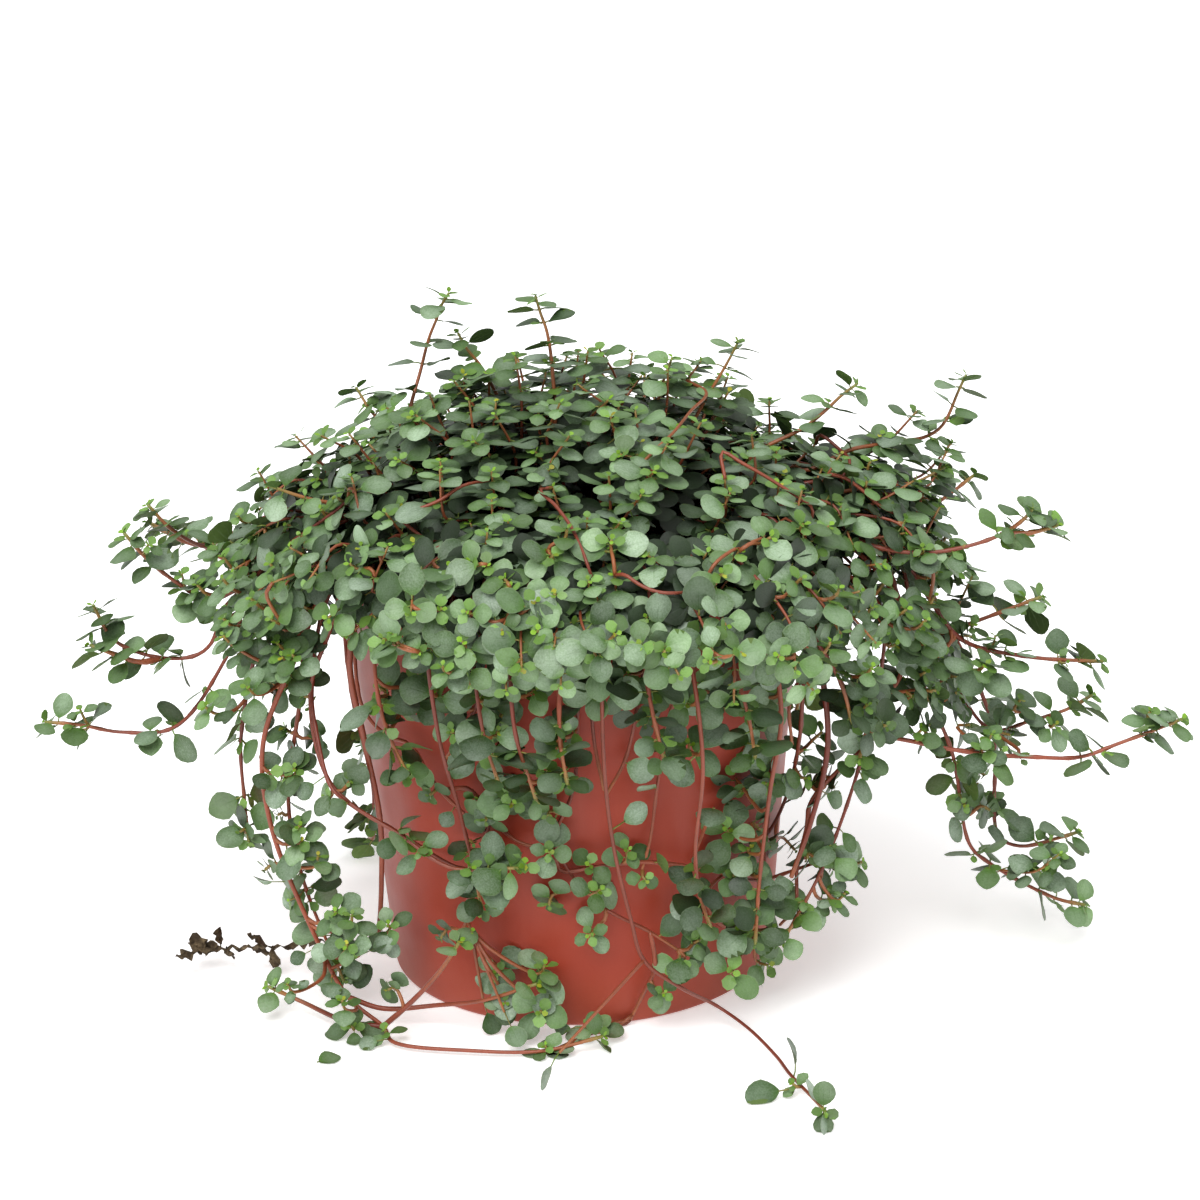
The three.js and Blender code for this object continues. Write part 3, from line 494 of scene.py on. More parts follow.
class Plant:
    # gathers the stems and leaves of one piece, and makes its mesh
    def __init__(self, name):
        self.name = name
        self.leaves = []
        self.stems = []
        self.lines = []  # points on its stems, with their directions, which side shoots may grow from

    def stem(self, path, foot, tip, age=(0.0, 1.0), sides=6, nodes=None, bears=False):
        # a stem that tapers from foot to tip, thicker at its nodes
        total = lengthOf(path)
        share = np.linspace(0, 1, len(path))
        radius = foot + (tip - foot) * share**1.3
        path = path.copy()
        path[:, 2] = np.maximum(path[:, 2], radius + 0.05)
        if nodes is not None and len(nodes):
            near = np.abs(share[:, None] * total - nodes[None, :]).min(1)
            radius = radius * (1 + 0.3 * np.exp(-((near / 1.1) ** 2)))
        young = age[0] + (age[1] - age[0]) * np.exp(-total * (1 - share) / growth["green"])
        self.stems.append((tube(path, radius, sides), np.repeat(young, sides), (young[0], age[1])))
        if bears and total > 0:
            self.lines.append(np.column_stack([path, unit(np.gradient(path, axis=0))]))

    def nearest(self, place, want):
        # the best place on the stems for a side shoot: about the wanted distance away, on the root side
        lines = np.vstack(self.lines)
        gap = place - lines[:, :3]
        far = np.linalg.norm(gap, axis=1)
        behind = np.maximum(0, -np.sum(gap * lines[:, 3:], 1))
        best = np.argmin(far + 1.2 * behind + 0.6 * np.abs(far - want))
        return lines[best, :3], lines[best, 3:]

    def rosette(self, place, size, pairs, face="out"):
        # pairs 0 is one leaf on its stalk; otherwise a side shoot with its bud and leaf pairs
        look = facingAt(place, face)
        if pairs == 0:
            foot, along = self.nearest(place, size * 0.9)
            size = size * 0.92
            out = unit(place - foot + 1e-6)
            stalk = max(0.8, np.linalg.norm(place - foot) - size * 0.5)
            if stalk > sideShoot["longestStalk"]:  # a twig carries it from the stem
                twigEnd = place - out * (size * 0.5 + sideShoot["twigStalk"])
                twig = throughPoints([foot, twigEnd], sideShoot["step"])
                self.stem(twig, foot=0.5, tip=0.35, age=(0.15, 0.6), sides=5)
                foot, stalk = twig[-1], sideShoot["twigStalk"]
            self.leaves.append(leafRow(foot, out, along, look, size, stalk, turn=0.72,
                                       age=rng.uniform(0, 0.1)))
            return
        foot, along = self.nearest(place, sideShoot["pairLength"] * pairs + 2)
        gap = np.linalg.norm(place - foot)
        end = unit(0.65 * look + 0.35 * unit(place - foot + 1e-6))
        path = throughPoints([foot, foot + (along * 0.45 + unit(place - foot) * 0.55) * gap * 0.4,
                              place - end * min(4.0, gap * 0.35), place], sideShoot["step"])
        bare = max(1.0, lengthOf(path) - sideShoot["pairLeafy"] * pairs)
        # rosettes that look down are darkened: painted shade
        dark = 0.75 if face == "down" else 0.0
        rows = growLeaves(path, bare, sideShoot["spacing"], size * 0.95, look,
                          budSize=size / sideShoot["fullBud"], axils=0.3)
        rows[:, leaf["old"]] = np.maximum(rows[:, leaf["old"]], dark * rng.uniform(0.5, 1.0))
        self.leaves.append(rows)
        self.stem(path, foot=0.55, tip=0.4, age=(0.15, 0.85), sides=5)

    def build(self, materials, crumple=0.0):
        leafRows = np.vstack(self.leaves) if self.leaves else np.zeros((0, leaf["old"] + 1))
        verts, ages, shadesAndAges, faceLists, finishes, uvs, tones, rims = [], [], [], [], [], [], [], []
        offset = 0
        small = leafRows[:, leaf["length"]] < smallest
        for blade, rows in ((grownBlade, leafRows[~small]), (smallBlade, leafRows[small])):
            if not len(rows):
                continue
            points, age, old = leafGeometry(rows, blade)
            n, each = points.shape[:2]
            verts.append(points.reshape(-1, 3))
            ages.append(np.repeat(age[:, 0], each))
            shadesAndAges.append(np.repeat(old[:, 0], each))
            tones.append(np.repeat(rng.random(n), each))
            stalkCount = blade["rings"] * stalkSides
            uv = np.column_stack([np.concatenate([blade["u"], np.zeros(stalkCount)]),
                                  np.concatenate([blade["v"] * 0.5 + 0.5, np.full(stalkCount, 0.5)])])
            uvs.append(np.tile(uv, (n, 1)))
            rims.append(np.tile(np.concatenate([blade["rim"], np.zeros(stalkCount, bool)]), n))
            shift = offset + np.arange(n)[:, None, None] * each
            for size in (3, 4):
                chosen = np.array([f for f in blade["faces"] if len(f) == size])
                marks = [m for f, m in zip(blade["faces"], blade["finish"]) if len(f) == size]
                faceLists.append((chosen[None] + shift).reshape(-1, size))
                finishes.append(np.tile(marks, n))
            offset += n * each
        for (points, faces, ends), age, span in self.stems:
            verts.append(points)
            ages.append(np.concatenate([age, [span[0], span[1]]]))
            shadesAndAges.append(np.zeros(len(points)))
            tones.append(np.full(len(points), rng.random()))
            uvs.append(np.zeros((len(points), 2)))
            rims.append(np.zeros(len(points), bool))
            faceLists += [faces + offset, ends + offset]
            finishes += [np.full(len(faces), 3), np.full(len(ends), 3)]
            offset += len(points)
        verts, ages, shadesAndAges, tones, uvs = (np.concatenate(a) for a in (verts, ages, shadesAndAges, tones, uvs))
        rims = np.concatenate(rims)
        if crumple:
            wave = np.sin(verts[:, [1, 2, 0]] * 1.9 + np.cos(verts[:, [2, 0, 1]] * 2.6))
            verts = verts + crumple * wave
            verts[:, 2] = np.maximum(verts[:, 2], 0.1)
        piece = meshPiece(self.name, verts, faceLists, np.concatenate(finishes), materials, uvs)
        mesh = piece.data
        for label, values in (("age", ages), ("old", shadesAndAges), ("tone", tones)):
            mesh.attributes.new(label, "FLOAT", "POINT").data.foreach_set("value", values.astype(np.float32))
        edges = np.zeros(len(mesh.edges) * 2, np.int32)
        mesh.edges.foreach_get("vertices", edges)
        sharp = rims[edges.reshape(-1, 2)].all(1)
        mesh.attributes.new("sharp_edge", "BOOLEAN", "EDGE").data.foreach_set("value", sharp)
        triangles = sum(len(f) * (f.shape[1] - 2) for f in faceLists)
        print(self.name, "leaves", len(leafRows), "stems", len(self.stems), "triangles", triangles)
        return piece


def addObject(name, data):
    made = bpy.data.objects.new(name, data)
    bpy.context.scene.collection.objects.link(made)
    return made


def meshPiece(name, verts, faceLists, finish, materials, uvs=None):
    # arrays of points (mm) and of faces into one mesh object in metres
    mesh = bpy.data.meshes.new(name)
    flat = np.concatenate([f.ravel() for f in faceLists])
    sizes = np.concatenate([np.full(len(f), f.shape[1]) for f in faceLists])
    mesh.vertices.add(len(verts))
    mesh.vertices.foreach_set("co", (verts * metre).astype(np.float32).ravel())
    mesh.loops.add(len(flat))
    mesh.loops.foreach_set("vertex_index", flat.astype(np.int32))
    mesh.polygons.add(len(sizes))
    mesh.polygons.foreach_set("loop_start", np.concatenate([[0], np.cumsum(sizes)[:-1]]).astype(np.int32))
    for material in materials:
        mesh.materials.append(material)
    mesh.polygons.foreach_set("material_index", finish.astype(np.int32))
    mesh.update(calc_edges=True)
    mesh.validate()
    if uvs is not None:
        layer = mesh.uv_layers.new(name="surface")
        layer.data.foreach_set("uv", uvs[flat].astype(np.float32).ravel())
    mesh.shade_smooth()
    return addObject(name, mesh)


def plainPiece(name, points, faceLists, materials=()):
    # a piece with one finish
    return meshPiece(name, points, faceLists, np.zeros(sum(len(f) for f in faceLists)), materials)


def srgb(red, green, blue):
    # a screen colour as the linear one that the shaders take
    c = np.array([red, green, blue]) / 255
    return (*np.where(c <= 0.04045, c / 12.92, ((c + 0.055) / 1.055) ** 2.4), 1.0)


def linear(looks):
    return {name: srgb(*colour) for name, colour in looks.items()}


class Nodes:
    # short calls that add and join shader nodes
    def __init__(self, tree):
        self.tree = tree

    def add(self, kind, values=None, **settings):
        node = self.tree.nodes.new("ShaderNode" + kind)
        for key, value in settings.items():
            setattr(node, key, value)
        for key, value in (values or {}).items():
            if isinstance(value, bpy.types.NodeSocket):
                self.tree.links.new(value, node.inputs[key])
            else:
                node.inputs[key].default_value = value
        return node

    def math(self, operation, a, b=0.0, clamp=False):
        return self.add("Math", {0: a, 1: b}, operation=operation, use_clamp=clamp).outputs[0]

    def mix(self, share, a, b):
        return self.add("Mix", {0: share, 6: a, 7: b}, data_type="RGBA").outputs[2]

    def ramp(self, value, low, high):
        return self.add("MapRange", {0: value, 1: low, 2: high, 3: 0.0, 4: 1.0}, clamp=True).outputs[0]

    def noise(self, place, scale, detail=3.0, roughness=0.55):
        return self.add("TexNoise", {"Vector": place, "Scale": scale, "Detail": detail,
                                     "Roughness": roughness}).outputs["Fac"]


def newGroup(name, inputs, outputs):
    group = bpy.data.node_groups.new(name, "ShaderNodeTree")
    for label, kind, value in inputs:
        socket = group.interface.new_socket(label, in_out="INPUT", socket_type="NodeSocket" + kind)
        if value is not None:
            socket.default_value = value
    for label, kind in outputs:
        group.interface.new_socket(label, in_out="OUTPUT", socket_type="NodeSocket" + kind)
    n = Nodes(group)
    return group, n, n.tree.nodes.new("NodeGroupInput"), n.tree.nodes.new("NodeGroupOutput")


def makeMottleGroup():
    # uneven colour: slow patches and a fine grain that darken and lighten a colour
    group, n, source, sink = newGroup(
        "naturalMottle",
        [("Color", "Color", (0.5, 0.5, 0.5, 1)), ("Place", "Vector", None), ("Patch Scale", "Float", 60.0),
         ("Patch Depth", "Float", 0.3), ("Grain Scale", "Float", 900.0), ("Grain Depth", "Float", 0.2)],
        [("Color", "Color"), ("Height", "Float")])
    place = source.outputs["Place"]
    patch = n.noise(place, source.outputs["Patch Scale"], 2.0)
    grain = n.noise(place, source.outputs["Grain Scale"], 3.0)
    shade = n.math("MULTIPLY", n.math("SUBTRACT", patch, 0.5), source.outputs["Patch Depth"])
    fine = n.math("MULTIPLY", n.math("SUBTRACT", grain, 0.5), source.outputs["Grain Depth"])
    shade = n.math("ADD", shade, fine)
    factor = n.math("ADD", 1.0, n.math("MULTIPLY", shade, 2.0))
    scaled = n.add("VectorMath", {0: source.outputs["Color"], "Scale": factor}, operation="SCALE").outputs[0]
    n.tree.links.new(scaled, sink.inputs["Color"])
    n.tree.links.new(grain, sink.inputs["Height"])
    return group


def makeVeinGroup():
    # three lengthwise veins and the blade's edge, from the blade's own map: U runs foot to tip, V across
    group, n, source, sink = newGroup(
        "bladeLines", [("Map", "Vector", None), ("Width", "Float", 0.05)],
        [("Veins", "Float"), ("Edge", "Float"), ("Foot", "Float"), ("Centre", "Float")])
    parts = n.add("SeparateXYZ", {0: source.outputs["Map"]})
    side = n.math("ABSOLUTE", n.math("SUBTRACT", n.math("MULTIPLY", parts.outputs["Y"], 2.0), 1.0))
    middle = n.math("SUBTRACT", 1.0, n.ramp(side, 0.0, source.outputs["Width"]))
    flank = n.math("ABSOLUTE", n.math("SUBTRACT", side, 0.5))
    flank = n.math("MULTIPLY", n.math("SUBTRACT", 1.0, n.ramp(flank, 0.0, source.outputs["Width"])), 0.6)
    fade = n.math("SUBTRACT", 1.0, n.ramp(parts.outputs["X"], 0.35, 0.95))
    veins = n.math("MULTIPLY", n.math("MAXIMUM", middle, flank), fade)
    n.tree.links.new(veins, sink.inputs["Veins"])
    n.tree.links.new(n.ramp(side, 0.88, 1.0), sink.inputs["Edge"])
    centre = n.math("MULTIPLY", n.math("SUBTRACT", 1.0, n.math("MULTIPLY", side, side)),
                    n.ramp(parts.outputs["X"], 0.08, 0.5))
    n.tree.links.new(centre, sink.inputs["Centre"])
    n.tree.links.new(n.math("SUBTRACT", 1.0, n.ramp(parts.outputs["X"], 0.0, 0.3)), sink.inputs["Foot"])
    return group


mottleGroup = makeMottleGroup()
veinGroup = makeVeinGroup()


def newMaterial(name, roughness, specular):
    material = bpy.data.materials.new(name)
    material.use_nodes = True
    n = Nodes(material.node_tree)
    shader = n.tree.nodes["Principled BSDF"]
    shader.inputs["Roughness"].default_value = roughness
    shader.inputs["Specular IOR Level"].default_value = specular
    return material, n, shader


def attribute(n, name):
    return n.add("Attribute", attribute_name=name).outputs["Fac"]


def mottle(n, shader, base, place, patch, grain):
    # the mottled colour into the shader, from the scale and depth of its patches and of its grain; returns
    # the grain's height
    mottled = n.add("Group", {"Color": base, "Place": place, "Patch Scale": patch[0],
                              "Patch Depth": patch[1], "Grain Scale": grain[0],
                              "Grain Depth": grain[1]}, node_tree=mottleGroup)
    n.tree.links.new(mottled.outputs["Color"], shader.inputs["Base Color"])
    return mottled.outputs["Height"]


def relieve(n, shader, height, strength, distance=0.0002):
    # fine relief from a height that changes over the surface; the distance is in metres
    bump = n.add("Bump", {"Strength": strength, "Distance": distance, "Height": height})
    n.tree.links.new(bump.outputs[0], shader.inputs["Normal"])


leafLooks = {
    "green": (62, 97, 38),  # between the silver specks
    "silver": (163, 183, 160),
    "grey": (120, 143, 113),
    # painted shade: the dark green that leaves deep in the plant, on down-turned rosettes and on the front's
    # hanging stems are mixed towards, with old leaves' own darker green
    "oldAndShaded": (26, 44, 16),  # shaded old leaves inside the plant
    "foot": (86, 134, 44),  # the blade's green foot
    "young": (110, 152, 66),
    "bud": (126, 170, 40),
    "heart": (176, 172, 48),
    # edge: a painted highlight where the upper face's rim catches light; the lower face takes it for its
    # paler veins
    "edge": (150, 168, 132),
    "under": (88, 110, 54),
    "underDeep": (50, 70, 30),
}


def bladeInputs(n, width):
    # what both faces of a leaf read: place, the leaf's own values, its veins and edge, and the colours
    place = n.add("TexCoord").outputs["Object"]
    mapped = n.add("UVMap", uv_map="surface").outputs[0]
    lines = n.add("Group", {"Map": mapped, "Width": width}, node_tree=veinGroup).outputs
    own = (attribute(n, name) for name in ("age", "tone", "old"))
    return (place, *own, lines, linear(leafLooks))


def makeLeafTop():
    # silver specks over green, paler in the blade's middle partly as painted sheen; greyer on some leaves
    # and darkened by painted shade inside the plant, green at the foot and when young, with a thin pale edge
    # that is a painted highlight, and three faint veins
    material, n, shader = newMaterial("silverLeafFace", roughness=0.43, specular=0.5)
    place, age, tone, old, lines, looks = bladeInputs(n, 0.07)
    second = n.math("FRACT", n.math("MULTIPLY", tone, 7.13))
    specks = n.ramp(n.noise(place, 2100.0, 2.0, 0.7), 0.3, 0.7)
    face = n.mix(n.ramp(tone, 0.5, 0.95), looks["silver"], looks["grey"])
    # paler towards the middle of the blade: partly the leaf's own silver, partly painted sheen of its dome
    amount = n.math("ADD", n.math("MULTIPLY", specks, 0.45), n.math("MULTIPLY", lines["Centre"], 0.45))
    amount = n.math("ADD", amount, n.math("SUBTRACT", n.math("MULTIPLY", second, 0.5), 0.2), True)
    base = n.mix(amount, looks["green"], face)
    base = n.mix(n.math("MULTIPLY", lines["Veins"], 0.3), base, looks["green"])
    fresh = n.math("ADD", n.math("MULTIPLY", age, 1.6), 0.4, True)
    base = n.mix(n.math("MULTIPLY", lines["Foot"], fresh), base, looks["foot"])
    base = n.mix(n.math("MULTIPLY", n.ramp(age, 0.05, 0.6), 0.85), base, looks["young"])
    base = n.mix(n.ramp(age, 0.6, 0.95), base, looks["bud"])
    base = n.mix(n.math("MULTIPLY", n.ramp(age, 0.9, 1.0), n.ramp(tone, 0.85, 0.97)), base, looks["heart"])
    # the thin pale edge: painted highlight where the rim catches light
    base = n.mix(n.math("MULTIPLY", lines["Edge"], 0.4), base, looks["edge"])
    # painted shade, mixed with old leaves' darker green
    base = n.mix(n.math("MULTIPLY", old, 0.9), base, looks["oldAndShaded"])
    bright = n.add("MapRange", {0: second, 1: 0.0, 2: 1.0, 3: 0.55, 4: 1.08}).outputs[0]
    base = n.add("VectorMath", {0: base, "Scale": bright}, operation="SCALE").outputs[0]
    grain = mottle(n, shader, base, place, patch=(260.0, 0.26), grain=(1700.0, 0.14))
    relief = n.math("SUBTRACT", n.math("MULTIPLY", grain, 0.8), n.math("MULTIPLY", lines["Veins"], 0.5))
    relieve(n, shader, relief, strength=0.35)
    return material


def makeLeafUnder():
    # olive, paler along the veins, darkened by painted shade inside the plant
    material, n, shader = newMaterial("oliveLeafBack", roughness=0.6, specular=0.3)
    place, age, tone, old, lines, looks = bladeInputs(n, 0.09)
    base = n.mix(tone, looks["underDeep"], looks["under"])
    base = n.mix(n.math("MULTIPLY", lines["Veins"], 0.18), base, looks["edge"])
    base = n.mix(n.ramp(age, 0.2, 0.9), base, looks["young"])
    # painted shade, as on the upper face
    base = n.mix(n.math("MULTIPLY", old, 0.8), base, looks["oldAndShaded"])
    mottle(n, shader, base, place, patch=(260.0, 0.2), grain=(1300.0, 0.15))
    relieve(n, shader, lines["Veins"], strength=0.4)
    return material


stemLooks = {"old": (112, 48, 34), "middle": (146, 72, 48), "young": (160, 98, 56), "tip": (120, 128, 56),
             "stalk": (104, 134, 56)}


def makeStemSkin(name, stalk):
    # red-brown at the foot, through orange-brown, to yellow-green at the tip
    material, n, shader = newMaterial(name, roughness=0.4, specular=0.5)
    place = n.add("TexCoord").outputs["Object"]
    age, tone = attribute(n, "age"), attribute(n, "tone")
    looks = linear(stemLooks)
    if stalk:
        base = n.mix(n.math("MULTIPLY", n.math("SUBTRACT", 1.0, age), n.math("MULTIPLY", tone, 0.45)),
                     looks["stalk"], looks["young"])
    else:
        base = n.mix(tone, looks["old"], looks["middle"])
        base = n.mix(n.ramp(age, 0.1, 0.6), base, looks["young"])
        base = n.mix(n.ramp(age, 0.55, 1.0), base, looks["tip"])
    grain = mottle(n, shader, base, place, patch=(160.0, 0.35), grain=(1400.0, 0.25))
    relieve(n, shader, grain, strength=0.4)
    return material


dryLooks = {"leaf": (62, 50, 36), "pale": (112, 96, 72), "stem": (58, 38, 30)}


def makeDrySkin():
    # dark, brown, crumpled leaf and stem with paler patches
    material, n, shader = newMaterial("witheredSkin", roughness=0.8, specular=0.2)
    place = n.add("TexCoord").outputs["Object"]
    looks = linear(dryLooks)
    base = n.mix(n.ramp(n.noise(place, 420.0), 0.4, 0.68), looks["leaf"], looks["pale"])
    grain = mottle(n, shader, base, place, patch=(300.0, 0.5), grain=(1600.0, 0.4))
    relieve(n, shader, grain, strength=0.8, distance=0.0004)
    return material


def makePotPlastic():
    # terracotta-red moulded plastic: faint patches, fine moulding texture and a little dust low down
    material, n, shader = newMaterial("terracottaPlastic", roughness=0.46, specular=0.36)
    place = n.add("TexCoord").outputs["Object"]
    height = n.add("SeparateXYZ", {0: place}).outputs["Z"]
    dust = n.math("MULTIPLY", n.math("SUBTRACT", 1.0, n.ramp(height, 0.0, 0.018)), n.noise(place, 90.0, 4.0))
    base = n.mix(n.math("MULTIPLY", dust, 0.35), srgb(158, 56, 34), srgb(176, 112, 88))
    streak = n.add("Mapping", {"Vector": place, "Scale": (1, 1, 0.12)}, vector_type="POINT").outputs[0]
    base = n.mix(n.math("MULTIPLY", n.ramp(n.noise(streak, 120.0, 4.0), 0.55, 0.8), 0.12), base,
                 srgb(184, 102, 80))
    mottle(n, shader, base, place, patch=(26.0, 0.08), grain=(2200.0, 0.05))
    rough = n.add("MapRange", {0: n.noise(place, 75.0, 4.0), 1: 0.3, 2: 0.7, 3: 0.4, 4: 0.54}).outputs[0]
    n.tree.links.new(rough, shader.inputs["Roughness"])
    relieve(n, shader, n.noise(place, 1800.0, 2.0), strength=0.12)
    return material


def makePeat():
    # dark crumbs with a few paler fibres
    material, n, shader = newMaterial("darkPeat", roughness=0.92, specular=0.2)
    place = n.add("TexCoord").outputs["Object"]
    crumbs = n.add("TexVoronoi", {"Vector": place, "Scale": 420.0}).outputs["Color"]
    tint = n.add("SeparateXYZ", {0: crumbs}).outputs["X"]
    base = n.mix(tint, srgb(34, 24, 18), srgb(78, 56, 40))
    base = n.mix(n.ramp(n.noise(place, 260.0, 5.0), 0.62, 0.72), base, srgb(122, 92, 62))
    grain = mottle(n, shader, base, place, patch=(50.0, 0.3), grain=(900.0, 0.4))
    relieve(n, shader, grain, strength=0.9, distance=0.0008)
    return material


leafTop = makeLeafTop()
leafUnder = makeLeafUnder()
leafStalk = makeStemSkin("leafStalkSkin", True)
stemSkin = makeStemSkin("redStemSkin", False)
drySkin = makeDrySkin()
plantFinishes = [leafTop, leafUnder, leafStalk, stemSkin]
print("materials made")


def turnedSurface(profile, sides):
    # a closed outline [radius, height] turned about the Z axis; both ends lie on the axis
    p = np.asarray(profile, float)
    angle = np.arange(sides) * 2 * np.pi / sides
    body = p[1:-1]
    ring = np.stack([body[:, None, 0] * np.cos(angle), body[:, None, 0] * np.sin(angle),
                     np.repeat(body[:, None, 1], sides, 1)], -1)
    points = np.vstack([ring.reshape(-1, 3), [[0, 0, p[0, 1]], [0, 0, p[-1, 1]]]])
    return (points, *ringFaces(len(body), sides))


def makePot():
    # a thin wall with a rolled lip and a rounded foot, and four round holes bored through its floor
    drop = pot["height"] - pot["lipDrop"]
    slope = (pot["shoulderRadius"] - pot["baseRadius"]) / drop
    arc = np.linspace(0, np.pi / 2, 5)
    bend, edge, height = pot["footRound"], pot["lipRound"], pot["height"]
    foot = [[pot["baseRadius"] - bend + bend * np.sin(a), bend - bend * np.cos(a)] for a in arc]
    wall = [[pot["baseRadius"] + slope * z, z] for z in np.linspace(4, drop - 1.2, 24)]
    lipFoot = [[pot["shoulderRadius"], drop - 0.4], [pot["shoulderRadius"] + 0.1, drop],
               [pot["lipRadius"] - 0.5, drop + 0.35], [pot["lipRadius"], drop + 0.9]]
    lip = [[pot["lipRadius"] - edge + edge * np.cos(a), height - edge + edge * np.sin(a)] for a in arc]
    inner = pot["shoulderRadius"] - pot["wall"]
    innerLip = [[inner + 0.4, height], [inner, height - 0.5]]
    floorRadius = pot["baseRadius"] + slope * pot["floor"] - pot["wall"]
    inside = [[inner + (floorRadius - inner) * t, height - 0.5 + (pot["floor"] + 1 - height) * t]
              for t in np.linspace(0.05, 1, 12)]
    base = [[r, 0] for r in [0] + pot["baseRings"]]
    top = [[r, pot["floor"]] for r in (floorRadius - 1, pot["baseRings"][0], 0)]
    profile = base + foot + wall + lipFoot + lip + innerLip + inside + top
    points, quads, ends = turnedSurface(profile, pot["sides"])
    piece = plainPiece("pot_shell", points, [quads, ends], [makePotPlastic()])
    holes = []
    for k in range(4):
        x, y = polar([[k * 90 + 45, pot["drainCircle"], 0]])[0, :2]
        plug = [[0, -1], [pot["drainRadius"], -1], [pot["drainRadius"], 4], [0, 4]]
        plugPoints, plugQuads, plugEnds = turnedSurface(plug, 32)
        holes.append((plugPoints + [x, y, 0], plugQuads, plugEnds))
    sizes = np.cumsum([0] + [len(h[0]) for h in holes])
    cutter = plainPiece("drain_cutter", np.vstack([h[0] for h in holes]),
                        [np.vstack([h[k] + s for h, s in zip(holes, sizes)]) for k in (1, 2)])
    cut = piece.modifiers.new("drainHoles", "BOOLEAN")
    cut.object = cutter
    cut.operation = "DIFFERENCE"
    cut.solver = "EXACT"
    bpy.context.view_layer.update()
    bored = bpy.data.meshes.new_from_object(piece.evaluated_get(bpy.context.evaluated_depsgraph_get()))
    piece.modifiers.clear()
    piece.data = bored
    bpy.data.objects.remove(cutter)
    return piece


potShell = makePot()
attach(potShell, "root")
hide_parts("pot")
print("pot made")

soil = {
    "level": 106.0,
    "gap": 0.35,  # between the plug and the pot
    "wallReach": 49.97,  # the pot's outside at its floor
    "wallSlope": 0.0801,  # how it widens upward
    "shoulder": 1.4,  # depth below the level at which the side ends
    "rim": 0.6,  # depth of the upper face's edge
    "rings": 46,
    "sides": 128,
    "relief": 0.45,
    "crumb": 0.28,
    "highest": 1.2,
    "flatFrom": 56,  # reach past which the upper face is flat
    "fade": 4,
}


def makeSoil():
    # the plug's upper face rises and falls with three sets of crossed waves and a fine random crumb
    def inner(z):
        return soil["wallReach"] - pot["wall"] + (z - pot["floor"]) * soil["wallSlope"] - soil["gap"]

    foot = pot["floor"] + soil["gap"]
    face = soil["level"] - soil["rim"]
    side = [[inner(z), z] for z in np.linspace(foot, soil["level"] - soil["shoulder"], 10)]
    top = [[r, face] for r in np.linspace(inner(soil["level"]) - soil["rim"], 1.2, soil["rings"])]
    profile = [[0, foot]] + side + top + [[0, face]]
    points, quads, ends = turnedSurface(profile, soil["sides"])
    x, y = points[:, 0], points[:, 1]
    wave = (np.sin(x * 0.61 + 1.3) * np.cos(y * 0.53) + 0.6 * np.sin(x * 1.4 - y * 1.1)
            + 0.4 * np.cos(x * 2.3 + y * 2.7))
    crumb = rng.normal(0, soil["crumb"], len(points))
    lift = np.clip(soil["relief"] * wave + crumb, -soil["highest"], soil["highest"])
    lift = lift * np.clip((soil["flatFrom"] - np.hypot(x, y)) / soil["fade"], 0, 1)
    points[:, 2] += np.where(points[:, 2] > face - 0.1, lift, 0)
    return plainPiece("peat_plug", points, [quads, ends], [makePeat()])


peat = makeSoil()
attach(peat, "root")
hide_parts("soil")
print("soil made")

# short side shoots in the leaf axils, of which some are longer branches
sprig = {"chance": 0.34, "length": [2.5, 8.0], "size": 5.4, "pairs": 3}
branch = {"share": 0.3, "length": [12.0, 22.0], "size": 6.6, "pairs": 4}
sprigRoom = {"lowest": 1.5, "highest": 175, "lip": 118, "clear": 2}  # where their tips may be


def addSprigs(plant, rows):
    # each sprig or branch curves from its leaf's direction to the light, with its own bud and pairs
    chosen = rows[(rng.random(len(rows)) < sprig["chance"]) & (rows[:, leaf["age"]] < 0.12)]
    for row in chosen:
        foot, out, along, light = (row[leaf[k]] for k in ("foot", "out", "along", "light"))
        kind = branch if rng.random() < branch["share"] else sprig
        length = rng.uniform(*kind["length"])
        first = unit(out * 0.8 + along * 0.5 + rng.normal(0, 0.15, 3))
        last = unit(first * 0.6 + light * 0.7 + rng.normal(0, 0.15, 3))
        tip = foot + first * length * 0.55 + last * length * 0.45
        if not sprigRoom["lowest"] <= tip[2] <= sprigRoom["highest"]:
            continue
        near = np.hypot(tip[0], tip[1]) < potRadius(tip[2]) + sprigRoom["clear"]
        if near and tip[2] < sprigRoom["lip"]:
            continue
        path = throughPoints([foot, foot + first * length * 0.45, tip], step=2.0)
        plant.leaves.append(growLeaves(path, start=2.0, spacing=5.5, size=kind["size"], light=light,
                                       budSize=rng.uniform(0.7, 1.0), budPairs=kind["pairs"]))
        plant.stem(path, foot=0.42, tip=0.3, age=(0.45, 0.9), sides=4)


